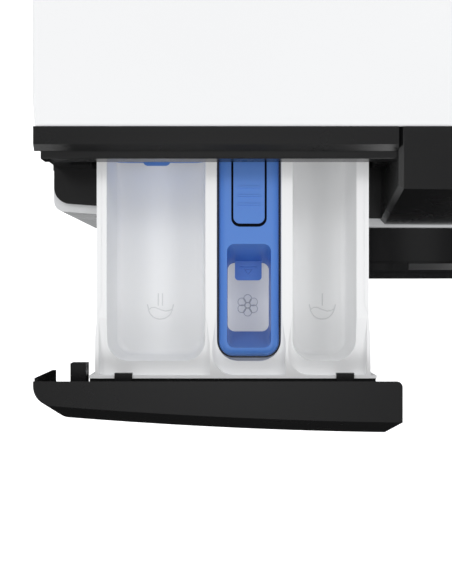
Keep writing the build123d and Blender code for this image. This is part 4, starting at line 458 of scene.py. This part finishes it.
def cast_metal(name, colour, roughness, metallic):
    finish = Finish(name, colour, roughness, metallic)
    skin = finish.noise(420.0, 4.0, 0.6)
    # Darker where the skin's relief is low and lighter where it is high: painted shade in its hollows and painted
    # highlight on its crests.
    painted_hollow_shade, painted_crest_highlight = shade(colour, 0.8), shade(colour, 1.1)
    finish.put("Base Color", finish.blend(finish.ramp(skin, 0.3, 0.7), painted_hollow_shade, painted_crest_highlight))
    finish.put("Normal", finish.bump(skin, 0.0002, 0.5))
    return finish.material


def circuit_board():
    finish = Finish("circuit_board", (0.02, 0.12, 0.05), 0.35, coat_weight=0.4)
    bricks = {"Vector": finish.place, "Scale": 90.0}
    tracks = finish.node("ShaderNodeTexBrick", {"offset": 0.5}, output="Fac", **bricks)
    finish.put("Base Color", finish.blend(tracks, (0.016, 0.10, 0.042), (0.05, 0.20, 0.09)))
    finish.put("Normal", finish.bump(tracks, 0.00003, 0.5))
    return finish.material


def hose_rubber(name, colour, roughness, rings, depth):
    """Rubber with bloom on its surface, and moulding rings across Z where it has them."""
    finish = Finish(name, colour, roughness)
    bloom = finish.ramp(finish.noise(40.0, 5.0, 0.6), 0.35, 0.75)
    finish.put("Base Color", finish.blend(bloom, colour, shade(colour, 1.5)))
    finish.put("Roughness", bloom * 0.15 + (roughness - 0.08))
    relief = finish.bump(finish.noise(900.0, 2.0), 0.00005, 0.5)
    finish.put("Normal", finish.bump((finish.part("Z") * rings).sine(), depth, 0.4, after=relief))
    return finish.material


concrete_cast = concrete()
cast_aluminium = cast_metal("sand_cast_aluminium", (0.56, 0.57, 0.58), 0.45, 0.85)
motor_paint = cast_metal("motor_casing", (0.26, 0.27, 0.29), 0.50, 0.5)
green_board = circuit_board()
black_rubber = hose_rubber("black_hose_rubber", (0.022, 0.022, 0.022), 0.62, 1500.0, 0.0002)
gasket_rubber = hose_rubber("grey_gasket_rubber", (0.20, 0.205, 0.215), 0.55, 0.0, 0.0)

# %% [markdown]
# The door has two glasses. The outer cover is smoke-tinted and polished. The bowl behind it is pressed
# glass, a little green, with the slow waviness that the press leaves. The display window is a black
# lacquered pane, smooth enough to mirror the room, with faint touch fields under it.

# %% Glass


def glass(name, colour, roughness, wave, tint_weight):
    """Clear or tinted pressed glass: mostly transmission, with a slow wave in its surface."""
    finish = Finish(name, colour, roughness, transmission_weight=tint_weight, ior=1.5, coat_weight=0.2)
    finish.put("Normal", finish.bump(finish.noise(9.0, 1.0), wave, 0.3))
    finish.put("Roughness", finish.ramp(finish.noise(30.0, 3.0), 0.4, 0.8, roughness, roughness + 0.05))
    return finish.material


tinted_glass = glass("smoked_cover_glass", (0.30, 0.31, 0.325), 0.02, 0.0004, 0.96)
bowl_glass = glass("pressed_bowl_glass", (0.90, 0.95, 0.94), 0.015, 0.0012, 0.97)


def black_pane():
    finish = Finish("black_display_pane", (0.004, 0.004, 0.005), 0.07, coat_weight=0.6, coat_roughness=0.03)
    smear = finish.ramp(finish.noise(26.0, 5.0, 0.65), 0.45, 0.8)
    finish.put("Roughness", smear * 0.16 + 0.05)
    return finish.material


display_pane = black_pane()

# %% [markdown]
# Each CAD node now gets its finish. The names on the left are the parts of the machine, one list for
# each finish. The mesh is never touched: only the material slots change.

# %% Hand the finishes out
finish_of = {
    white_enamel: ["left_side_panel", "right_side_panel", "front_panel"],
    zinc_sheet: ["rear_panel", "top_braces"],
    worktop_laminate: ["worktop"],
    dark_frame: ["worktop_frame", "base_tray", "damper_cylinders"],
    white_moulding: ["plinth", "filter_flap", "transit_plugs", "drum_lifters", "door_latch_hook"],
    fascia_plastic: ["control_fascia", "drawer_front"],
    door_ring_plastic: ["door_outer_ring"],
    display_pane: ["display_window"],
    green_board: ["control_board"],
    grey_moulding: [
        "dispenser_housing", "inlet_valve", "drain_pump", "drain_outlet", "filter_cap", "door_lock",
        "door_inner_ring",
    ],
    black_rubber: ["valve_hose", "dispenser_hose", "sump_hose", "cord_gland", "drive_belt"],
    black_moulding: ["levelling_feet"],
    zinc_steel: [
        "rear_panel_screws", "door_hinge_bracket", "door_hinge_arm", "suspension_springs", "damper_rods",
    ],
    gasket_rubber: ["door_gasket"],
    tub_moulding: ["tub_front", "tub_rear"],
    concrete_cast: ["front_counterweight", "top_counterweight"],
    nickel_steel: ["heater", "drum_bearings", "drum_shaft", "motor_rotor"],
    motor_paint: ["motor_housing"],
    stainless: ["drum_shell"],
    cast_aluminium: ["drum_spider", "drum_pulley"],
    tray_plastic: ["drawer_tub"],
    cap_plastic: ["siphon_cap", "release_tab", "liquid_flap"],
    inlay_plastic: ["door_top_inlay"],
    tinted_glass: ["door_cover_glass"],
    bowl_glass: ["door_glass_bowl"],
    button_plastic: ["power_button", "start_button", "program_knob"],
}
for material, names in finish_of.items():
    for name in names:
        slots = nodes[name].data.materials
        slots.clear()
        slots.append(material)
bare = sorted(set(nodes) - {name for names in finish_of.values() for name in names})
print("nodes with a finish:", len(nodes) - len(bare), "without:", bare)

# %% [markdown]
# The rest of the lesson models what CAD left out. A few helpers keep the steps short. `deselect` clears
# the selection, because operators act on all that is selected. `settle` gives a modelled piece its name
# and finish, moves its place into its mesh, and lets it ride on one of the machine's moving bodies.

# %% Modelling helpers


def deselect():
    if bpy.context.object and bpy.context.object.mode != "OBJECT":
        bpy.ops.object.mode_set(mode="OBJECT")
    bpy.ops.object.select_all(action="DESELECT")


def only(piece):
    """Makes piece the one selected and active object."""
    deselect()
    piece.select_set(True)
    bpy.context.view_layer.objects.active = piece


def settle(piece, name, material, body, at=None, smooth=35):
    """Names a finished piece, applies its place, shades it and lets it ride on body."""
    if at is not None:
        piece.matrix_world = at @ piece.matrix_world
    only(piece)
    bpy.ops.object.transform_apply(location=True, rotation=True, scale=True)
    bpy.ops.object.shade_smooth_by_angle(angle=math.radians(smooth))
    piece.name = piece.data.name = name
    piece.data.materials.clear()
    piece.data.materials.append(material)
    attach(piece, body)
    print(name, "faces", len(piece.data.polygons), "rides on", body)
    return piece


def joined(pieces):
    """One object from several."""
    deselect()
    for piece in pieces:
        piece.select_set(True)
    bpy.context.view_layer.objects.active = pieces[0]
    if len(pieces) > 1:
        bpy.ops.object.join()
    return bpy.context.view_layer.objects.active


def apply_modifiers(piece):
    only(piece)
    for modifier in list(piece.modifiers):
        bpy.ops.object.modifier_apply(modifier=modifier.name)


# %% [markdown]
# Pictograms, dial marks and digits are all thin raised strokes. Each is drawn as a flat curve in
# millimetres, X to the right and Y up, given a round bead as its bevel, and made a mesh. The bead sits
# half in the surface, so a stroke stands out by half its width.

# %% Raised strokes


def arc(x, y, radius, start, end, steps=14):
    """Points on a circle from the start angle to the end angle, in degrees."""
    angles = [math.radians(start + (end - start) * i / steps) for i in range(steps + 1)]
    return [(x + radius * math.cos(a), y + radius * math.sin(a)) for a in angles]


def raised(lines, width, round_steps=1):
    """One mesh of beads along lines; a line that ends where it starts is closed."""
    drawing = bpy.data.curves.new("drawing", "CURVE")
    drawing.dimensions = "3D"
    drawing.bevel_depth = width * mm / 2
    drawing.bevel_resolution = round_steps
    drawing.use_fill_caps = True
    for points in lines:
        closed = math.dist(points[0], points[-1]) < 0.01
        kept = points[:-1] if closed else points
        spline = drawing.splines.new("POLY")
        spline.points.add(len(kept) - 1)
        for point, (x, y) in zip(spline.points, kept):
            point.co = (x * mm, y * mm, 0, 1)
        spline.use_cyclic_u = closed
    made = bpy.data.objects.new("drawing", drawing)
    bpy.context.scene.collection.objects.link(made)
    only(made)
    bpy.ops.object.convert(target="MESH")
    return bpy.context.view_layer.objects.active


def lying(x, y, z):
    """Places a drawing level, its Y towards the back."""
    return Matrix.Translation((x, y, z))


# %% [markdown]
# The three compartments are marked on their floors: a basin of water with two bars for the main wash, one
# with a single bar for the prewash, and a flower for the softener. They are moulded with the drawer; their
# edges are what one sees, so the strokes are narrow and steep, in a darker copy of the tray's white without
# its glow, which is painted shade along those edges.

# %% Compartment marks
tub_low, tub_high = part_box("drawer_tub")
cap_low, cap_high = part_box("siphon_cap")
flap_low, flap_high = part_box("liquid_flap")
tray_floor_t = 2.0 * mm
floor_z = tub_low.z + tray_floor_t
main_x = (flap_low.x + flap_high.x) / 2
softener_x = (cap_low.x + cap_high.x) / 2
prewash_x = (cap_high.x + tub_high.x) / 2 + 0.4 * mm
basin_y = cap_low.y + 31.0 * mm
mark_width = 0.75

# A darker copy of the tray's white, without its glow: painted shade for the shadow lines at the marks' edges.
shaded_mark_plastic = moulded(
    "tray_mark_painted_shade_plastic", (0.74, 0.745, 0.755), 0.5, 900.0, 0.00001, 0.01, 0.05, specular_ior_level=0.3
)


def basin(bars):
    """A basin with a wave in it, and upright bars over it at the given places."""
    bowl = arc(0, 2.4, 8.9, 186, 354, 20)
    lips = [[(-8.85, 1.4), (-9.6, 4.4)], [(8.85, 1.4), (9.6, 4.4)]]
    wave = [(-8.4, 0.6), (-6.6, 2.0), (-4.0, 2.1), (0, 0.5), (3.6, -0.6), (6.2, -0.3), (8.4, 0.8)]
    return [bowl, wave, *lips, *[[(x, 3.4), (x, 12.4)] for x in bars]]


main_mark = raised(basin((-1.5, 1.5)), mark_width)
settle(main_mark, "main_wash_mark", shaded_mark_plastic, "drawer", lying(main_x, basin_y, floor_z))
pre_mark = raised(basin((0.0,)), mark_width)
settle(pre_mark, "prewash_mark", shaded_mark_plastic, "drawer", lying(prewash_x, basin_y, floor_z))

# %% [markdown]
# Under the funnel the softener's compartment gets little light. Its floor is a separate plaque here that
# glows a little, painted light that makes it a shade brighter than the walls, with the flower on top. The
# petals are six small rings round a seventh.

# %% Softener plaque and flower
# The plaque's plastic glows (emission 0.20) though it is no lamp: painted light for the dim compartment.
glowing_plaque_plastic = moulded(
    "softener_painted_glow_plastic", (0.80, 0.805, 0.82), 0.5, 900.0, 0.00001, 0.01, 0.05,
    emission_color=(0.94, 0.95, 1.0, 1), emission_strength=0.20,
)


def plate(width, length, height, corner, bevel=0.3):
    """A flat rounded plate about the origin, its foot on the origin's level; sizes in millimetres."""
    deselect()
    bpy.ops.mesh.primitive_cube_add(size=1, location=(0, 0, height * mm / 2))
    made = bpy.context.active_object
    made.scale = (width * mm, length * mm, height * mm)
    bpy.ops.object.transform_apply(location=True, rotation=True, scale=True)
    upright = made.data.edges
    bpy.ops.object.mode_set(mode="EDIT")
    bpy.ops.mesh.select_all(action="DESELECT")
    bpy.ops.object.mode_set(mode="OBJECT")
    for edge in upright:
        a, b = (made.data.vertices[i].co for i in edge.vertices)
        edge.select = abs(a.z - b.z) > height * mm / 2
    bpy.ops.object.mode_set(mode="EDIT")
    bpy.ops.mesh.select_mode(type="EDGE")
    bpy.ops.mesh.bevel(offset=corner * mm, segments=6, affect="EDGES")
    bpy.ops.object.mode_set(mode="OBJECT")
    if bevel:
        rounding = made.modifiers.new("rounding", "BEVEL")
        rounding.width = bevel * mm
        rounding.segments = 2
        rounding.limit_method = "ANGLE"
        apply_modifiers(made)
    return made


plaque_t = 0.6
plaque = plate(38.0, 64.0, plaque_t, 4.0)
plaque_y = cap_low.y + 39.0 * mm
settle(plaque, "softener_glow_plaque", glowing_plaque_plastic, "drawer", lying(softener_x, plaque_y, floor_z))

petal_count = 6
petal_reach = 5.0
petals = [arc(0, 0, 2.0, 0, 360)]
for i in range(petal_count):
    turn = math.radians(360 / petal_count * i + 30)
    petals.append(arc(petal_reach * math.cos(turn), petal_reach * math.sin(turn), 2.9, 0, 360))
flower = raised(petals, 0.6)
flower_at = lying(softener_x, cap_low.y + 34.6 * mm, floor_z + plaque_t * mm)
settle(flower, "softener_mark", shaded_mark_plastic, "drawer", flower_at)

# %% [markdown]
# The level tab inside the funnel carries a raised filling mark. Here it is a plain bar over a small
# triangle, which needs no language. Round the cap runs a black bead in the gap to the white compartment,
# and a black plate lies under the tongue's slot: both are painted shadow for those gaps.

# %% Level mark and painted gap shadows
level_y = cap_low.y + 59.7 * mm
tab_top = cap_high.z - 30.5 * mm
level = raised([[(-6, 2.4), (6, 2.4)], [(-2.6, 0.6), (2.6, 0.6), (0, -2.6), (-2.6, 0.6)]], 0.8)
settle(level, "level_mark", cap_plastic, "drawer", lying(softener_x, level_y, tab_top))

# Black for the bead round the cap and the plate under the tongue: painted shadow in those gaps.
gap_shadow_black = hose_rubber("painted_gap_shadow_black", (0.012, 0.012, 0.014), 0.6, 0.0, 0.0)


def rounded_loop(low_x, low_y, high_x, high_y, front, back, out):
    """A closed outline with its own corner radii in front and behind, grown by out."""
    line = arc(low_x + front, low_y + front, front + out, 180, 270, 8)
    line += arc(high_x - front, low_y + front, front + out, 270, 360, 8)
    line += arc(high_x - back, high_y - back, back + out, 0, 90, 8)
    line += arc(low_x + back, high_y - back, back + out, 90, 180, 8)
    return [*line, line[0]]


half_cap = (cap_high.x - cap_low.x) / 2 / mm
cap_long = (cap_high.y - cap_low.y) / mm
gap_shadow_bead = raised([rounded_loop(-half_cap, 0, half_cap, cap_long, 10.3, 7.0, 0.55)], 1.0)
gap_shadow_at = lying(softener_x, cap_low.y, cap_high.z - 5.0 * mm)
settle(gap_shadow_bead, "cap_gap_shadow", gap_shadow_black, "drawer", gap_shadow_at)

tongue_low, tongue_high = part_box("release_tab")
slot_shadow_plate = plate(26.0, 64.0, 0.8, 5.0)
plate_y = (tongue_low.y + tongue_high.y) / 2
plate_at = lying(softener_x, plate_y, cap_high.z - 11.5 * mm)
settle(slot_shadow_plate, "tongue_slot_shadow_plate", gap_shadow_black, "drawer", plate_at)

# %% [markdown]
# The right end of the fascia leans back and follows the bow of the cabinet. What is drawn on it needs the
# face's own frame: a point, the direction to the right along the face, and the way up. All three come
# from the knob, which stands on that face: from the axis that it turns about, and from where it is.

# %% The frame of the fascia's face
knob_joint = next(j for j in frame["joints"] if j["child"] == "program_knob")
knob_axis = Vector(knob_joint["axis"]).normalized()
knob_foot = Vector(knob_joint["pos_m"])
front_radius = 3.6  # of the cabinet's bowed front, in plan


def on_face(across, up, proud=0.0):
    """A frame on the fascia's face, that far right of and above the knob's middle, in millimetres."""
    x = knob_foot.x + across * mm
    drop = math.sqrt(front_radius**2 - knob_foot.x**2) - math.sqrt(front_radius**2 - x**2)
    turn = x / math.sqrt(front_radius**2 - x**2)
    rise = knob_axis.z / -knob_axis.y
    outward = Vector((turn, -1, rise)).normalized()
    right = Vector((1, turn, 0)).normalized()
    above = outward.cross(right).normalized()
    point = Vector((x, knob_foot.y + drop + rise * up * mm, knob_foot.z + up * mm)) + outward * proud * mm
    return Matrix((
        (right.x, above.x, outward.x, point.x),
        (right.y, above.y, outward.y, point.y),
        (right.z, above.z, outward.z, point.z),
        (0, 0, 0, 1),
    ))


face_print = Finish("pale_face_print", (0.62, 0.63, 0.64), 0.5)
face_print.put("Roughness", face_print.ramp(face_print.noise(400.0, 2.0), 0.3, 0.7, 0.42, 0.58))
face_print.put("Normal", face_print.bump(face_print.noise(2500.0, 1.0), 0.00001, 0.4))
face_print = face_print.material

# %% [markdown]
# Round the knob stand sixteen programme marks: a short stroke at each, and a longer one at the four that
# are used most. The knob itself gets a brushed ring at its foot and a belt of fine ribs, which is one rib
# copied round. The ring and ribs turn with the knob; the marks stay on the fascia.

# %% Dial marks, knob ring and ribs
knob_low, knob_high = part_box("program_knob")
knob_radius = (knob_high.x - knob_low.x) / 2 / mm
programmes = 16
mark_gap = 3.0
ticks = []
for i in range(programmes):
    turn = math.radians(360 / programmes * (i + 0.5))
    reach = 3.4 if i % 4 else 5.6
    inner, outer = knob_radius + mark_gap, knob_radius + mark_gap + reach
    ticks.append([(r * math.sin(turn), r * math.cos(turn)) for r in (inner, outer)])
dial = raised(ticks, 0.7)
settle(dial, "dial_marks", face_print, "cabinet", on_face(0, 0, 0.02))

steel_ring = rolled_steel("knob_ring_steel", (0.60, 0.60, 0.60), 0.22, (300, 300, 2000))
deselect()
bpy.ops.mesh.primitive_torus_add(
    major_radius=(knob_radius + 0.15) * mm, minor_radius=1.1 * mm, major_segments=96, minor_segments=14
)
ring = bpy.context.active_object
settle(ring, "knob_ring", steel_ring, "program_knob", on_face(0, 0, 3.2))

rib_count = 72
rib_circle = (knob_radius - 0.12) * mm
ribs = []
for i in range(rib_count):
    deselect()
    bpy.ops.mesh.primitive_cylinder_add(vertices=8, radius=0.62 * mm, depth=9.0 * mm)
    rib = bpy.context.active_object
    turn = 2 * math.pi * i / rib_count
    rib.location = (rib_circle * math.cos(turn), rib_circle * math.sin(turn), 0)
    ribs.append(rib)
rib_belt = joined(ribs)
settle(rib_belt, "knob_ribs", button_plastic, "program_knob", on_face(0, 0, 10.2), 60)

# %% [markdown]
# Behind the window the display shows a remaining time in seven-segment digits, and three bars of different
# length beside it. A figure is drawn from those of the seven segments that it needs. The buttons carry the
# usual signs: a broken ring with a stroke for power, and a triangle with two bars for start and pause.

# %% Display and button signs
SEGMENTS = {"1": "bc", "2": "abged", "8": "abcdefg"}


def digit(figure, x, y, w=7.5, h=14.0):
    """The strokes of one seven-segment figure."""
    spots = {
        "a": [(1, h), (w - 1, h)], "b": [(w, h - 1), (w, h / 2 + 1)], "c": [(w, h / 2 - 1), (w, 1)],
        "d": [(1, 0), (w - 1, 0)], "e": [(0, 1), (0, h / 2 - 1)], "f": [(0, h / 2 + 1), (0, h - 1)],
        "g": [(1, h / 2), (w - 1, h / 2)],
    }
    return [[(px + x, py + y) for px, py in spots[key]] for key in SEGMENTS[figure]]


lamp = Finish("display_light", (0.75, 0.85, 0.9), 0.4)
glow = lamp.ramp(lamp.noise(900.0, 2.0), 0.3, 0.7, 0.86, 1.0)
lamp.put("Emission Color", lamp.blend(glow, (0.55, 0.75, 0.85), (0.80, 0.93, 1.0)))
lamp.put("Emission Strength", 0.9)
lamp = lamp.material

window_low, window_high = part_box("display_window")
window_x = ((window_low.x + window_high.x) / 2 - knob_foot.x) / mm
window_up = 8.0
shown = digit("1", 0, 0) + digit("2", 15, 0) + digit("8", 27, 0)
shown += [[(11.2, 4.0), (11.2, 4.4)], [(11.2, 9.6), (11.2, 10.0)]]
bar_start = -38
shown += [[(bar_start, up), (bar_start + length, up)] for length, up in ((9, 1), (18, 7), (9, 13))]
digits = raised(shown, 1.0)
digits.scale = (1, 1, 0.15)
settle(digits, "display_digits", lamp, "cabinet", on_face(window_x, window_up - 7, 0.05))

for body, node, lines in (
    ("power_button", "power_button", [arc(0, 0, 3.6, 120, 420), [(0, 1.4), (0, 5.0)]]),
    (
        "start_button", "start_button",
        [[(-4, -3), (-4, 3), (1, 0), (-4, -3)], [(3, -2.8), (3, 2.8)], [(5.2, -2.8), (5.2, 2.8)]],
    ),
):
    centre = middle(node)
    across = (centre.x - knob_foot.x) / mm
    up = (centre.z - knob_foot.z) / mm
    sign = raised(lines, 0.75)
    sign.scale = (1, 1, 0.3)
    settle(sign, f"{node}_sign", face_print, body, on_face(across, up, 2.02))

# %% [markdown]
# The drum is rolled from a stainless sheet with well over a thousand holes. One tile of that sheet is a
# hexagon with a round hole in it: hexagons pack without gaps in staggered rows, as the punched holes do.
# The tile is repeated over a flat sheet with as many columns as fit round the drum, the sheet is bent to
# the drum's radius in code, and it gets its thickness last. The front lip and the back are turned shapes,
# made by spinning a profile about the drum's axis. The sheet stands for the plain shell of the CAD model,
# which stays in the simulation as what the laundry touches.

# %% Drum sheet
drum_low, drum_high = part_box("drum_shell")
drum_middle = (drum_low + drum_high) / 2
drum_radius = (drum_high.x - drum_low.x) / 2
drum_axis_z = drum_middle.z
columns = 70
pitch = 2 * math.pi * drum_radius / columns
row_step = pitch * math.sqrt(3) / 2
edge_band = 17 * mm  # plain sheet in front of the first row and behind the last
rows = int((drum_high.y - drum_low.y - 2 * edge_band) / row_step)
hole_radius = 2.3 * mm


def hexagon_point(angle, across_flats):
    """The point at an angle on the edge of a hexagon whose flats face left and right."""
    nearest = round(angle / (math.pi / 3)) * math.pi / 3
    return across_flats / 2 / math.cos(angle - nearest)


deselect()
bpy.ops.mesh.primitive_circle_add(vertices=12, radius=hole_radius)
tile = bpy.context.active_object
bpy.ops.object.mode_set(mode="EDIT")
bpy.ops.mesh.select_all(action="SELECT")
bpy.ops.mesh.extrude_edges_move()
bpy.ops.object.mode_set(mode="OBJECT")
for vertex in tile.data.vertices:
    if vertex.select:
        angle = math.atan2(vertex.co.y, vertex.co.x)
        reach = hexagon_point(angle, pitch)
        vertex.co.x, vertex.co.y = reach * math.cos(angle), reach * math.sin(angle)
across_row = tile.modifiers.new("row", "ARRAY")
across_row.count = columns
across_row.use_relative_offset = False
across_row.use_constant_offset = True
across_row.constant_offset_displace = (pitch, 0, 0)
apply_modifiers(tile)
row_mesh = tile.data
sheets = [tile]
for i in range(1, rows):
    copy = bpy.data.objects.new("drum_row", row_mesh.copy())
    bpy.context.scene.collection.objects.link(copy)
    copy.data.transform(Matrix.Translation((pitch / 2 * (i % 2), i * row_step, 0)))
    sheets.append(copy)
sheet = joined(sheets)
bpy.ops.object.mode_set(mode="EDIT")
bpy.ops.mesh.select_all(action="SELECT")
bpy.ops.mesh.remove_doubles(threshold=0.00005)
bpy.ops.object.mode_set(mode="OBJECT")
sheet_start = drum_middle.y - (rows - 1) * row_step / 2
for vertex in sheet.data.vertices:
    turn = vertex.co.x / drum_radius
    along = vertex.co.y
    vertex.co = (
        drum_middle.x + drum_radius * math.sin(turn),
        sheet_start + along,
        drum_axis_z + drum_radius * math.cos(turn),
    )
print("drum holes", columns * rows)


def spun(profile, steps=140):
    """Turns a profile of (y, radius) points about the drum's axis."""
    shape = bpy.data.meshes.new("profile")
    shape.from_pydata([(drum_middle.x, y, drum_axis_z + r) for y, r in profile],
                      [(i, i + 1) for i in range(len(profile) - 1)], [])
    made = bpy.data.objects.new("spun", shape)
    bpy.context.scene.collection.objects.link(made)
    only(made)
    bpy.ops.object.mode_set(mode="EDIT")
    bpy.ops.mesh.select_all(action="SELECT")
    bpy.ops.mesh.spin(
        steps=steps, angle=2 * math.pi, center=(drum_middle.x, 0, drum_axis_z), axis=(0, 1, 0)
    )
    bpy.ops.mesh.select_all(action="SELECT")
    bpy.ops.mesh.remove_doubles(threshold=0.00002)
    bpy.ops.object.mode_set(mode="OBJECT")
    return made


front_y, back_y = drum_low.y, drum_high.y
first_row = sheet_start - pitch / 2
last_row = sheet_start + (rows - 1) * row_step + pitch / 2
lip = [(front_y + 12 * mm, 0.1735), (front_y + 4 * mm, 0.1735), (front_y + 1.2 * mm, 0.175)]
lip += [(front_y + 0.6 * mm, 0.180), (front_y + 0.6 * mm, 0.200), (front_y + 3.0 * mm, 0.208)]
lip += [(front_y + 3.0 * mm, 0.220), (front_y + 0.8 * mm, 0.228)]
lip += [(front_y + 0.8 * mm, drum_radius - 6 * mm), (front_y + 2.6 * mm, drum_radius - 1.8 * mm)]
lip += [(front_y + 6.8 * mm, drum_radius), (first_row + 6 * mm, drum_radius)]
back = [(last_row - 6 * mm, drum_radius), (back_y - 6.8 * mm, drum_radius)]
back += [(back_y - 2.6 * mm, drum_radius - 1.8 * mm), (back_y - 0.8 * mm, drum_radius - 6 * mm)]
back += [(back_y - 0.8 * mm, 0.205), (back_y - 6 * mm, 0.196), (back_y - 6 * mm, 0.120)]
back += [(back_y - 10 * mm, 0.112), (back_y - 10 * mm, 0.060)]
back += [(back_y - 5 * mm, 0.052), (back_y - 5 * mm, 0.0)]
drum = joined([sheet, spun(lip), spun(back)])
bpy.ops.object.mode_set(mode="EDIT")
bpy.ops.mesh.select_all(action="SELECT")
bpy.ops.mesh.remove_doubles(threshold=0.00002)
bpy.ops.mesh.normals_make_consistent(inside=False)
bpy.ops.object.mode_set(mode="OBJECT")
wall = drum.modifiers.new("wall", "SOLIDIFY")
wall.thickness = 0.8 * mm
wall.offset = -1
apply_modifiers(drum)
settle(drum, "perforated_drum", stainless, "drum")
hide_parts("drum_shell")

# %% [markdown]
# The cold water inlet at the back has a pipe thread. A thread is a ridge that climbs one pitch for each
# turn, so it is drawn as a helix with a small bead, over the plain spigot. A hexagon nut under the base
# locks each levelling foot; it is a six-sided cylinder with its corners bevelled off.

# %% Inlet thread and foot nuts
inlet_mount = next(m for m in frame["record"]["mounts"] if m["name"] == "water_inlet")
inlet = Vector(inlet_mount["pos_m"])
thread_radius = inlet_mount["dims"]["r_mm"] * mm
thread_pitch = 1.814 * mm
thread_turns = 5
thread_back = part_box("inlet_valve")[1].y
turning = bpy.data.curves.new("thread", "CURVE")
turning.dimensions = "3D"
turning.bevel_depth = 0.62 * mm
turning.bevel_resolution = 1
turning.use_fill_caps = True
helix = turning.splines.new("POLY")
turn_steps = 28
crest_line = thread_radius - 0.1 * mm
helix.points.add(thread_turns * turn_steps)
for i, point in enumerate(helix.points):
    turn = 2 * math.pi * i / turn_steps
    y = thread_back - 1.2 * mm - thread_pitch * i / turn_steps
    point.co = (inlet.x + crest_line * math.cos(turn), y, inlet.z + crest_line * math.sin(turn), 1)
thread = bpy.data.objects.new("thread", turning)
bpy.context.scene.collection.objects.link(thread)
only(thread)
bpy.ops.object.convert(target="MESH")
settle(bpy.context.view_layer.objects.active, "inlet_thread", grey_moulding, "cabinet")

nuts = []
feet = [m for m in frame["record"]["mounts"] if m["name"].startswith("foot_")]
for foot in feet:
    spot = Vector(foot["pos_m"])
    deselect()
    bpy.ops.mesh.primitive_cylinder_add(
        vertices=6, radius=10.5 * mm, depth=4.0 * mm, location=(spot.x, spot.y, 11.4 * mm)
    )
    nut = bpy.context.active_object
    edges = nut.modifiers.new("edges", "BEVEL")
    edges.width, edges.segments, edges.limit_method = 0.7 * mm, 2, "ANGLE"
    apply_modifiers(nut)
    nuts.append(nut)
settle(joined(nuts), "foot_lock_nuts", zinc_steel, "cabinet")

# %% [markdown]
# A bare sheet as large as the back would drum, so it is pressed with shallow swages. Each is a rounded
# rectangle of raised bead. A blank rating plate sits in the top corner, with neither words nor figures.

# %% Back panel swages and plate
rear_low, rear_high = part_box("rear_panel")
rear_middle = (rear_low + rear_high) / 2
facing_back = Matrix((
    (-1, 0, 0, rear_middle.x),
    (0, 0, 1, rear_high.y - 0.35 * mm),
    (0, 1, 0, rear_middle.z),
    (0, 0, 0, 1),
))
pressed = [
    rounded_loop(-170, -250, 170, -60, 30, 30, 0),
    rounded_loop(-170, -30, 170, 160, 30, 30, 0),
    rounded_loop(-140, -225, 140, -85, 22, 22, 0),
    rounded_loop(-140, -5, 140, 135, 22, 22, 0),
]
swages = raised(pressed, 5.0, 3)
swages.scale = (1, 1, 0.32)
settle(swages, "rear_swages", zinc_sheet, "cabinet", facing_back, 50)
rating = plate(70.0, 40.0, 0.5, 3.0, 0.15)
rating_at = facing_back @ Matrix.Translation((150 * mm, 235 * mm, 0.2 * mm))
settle(rating, "blank_rating_plate", white_moulding, "cabinet", rating_at)
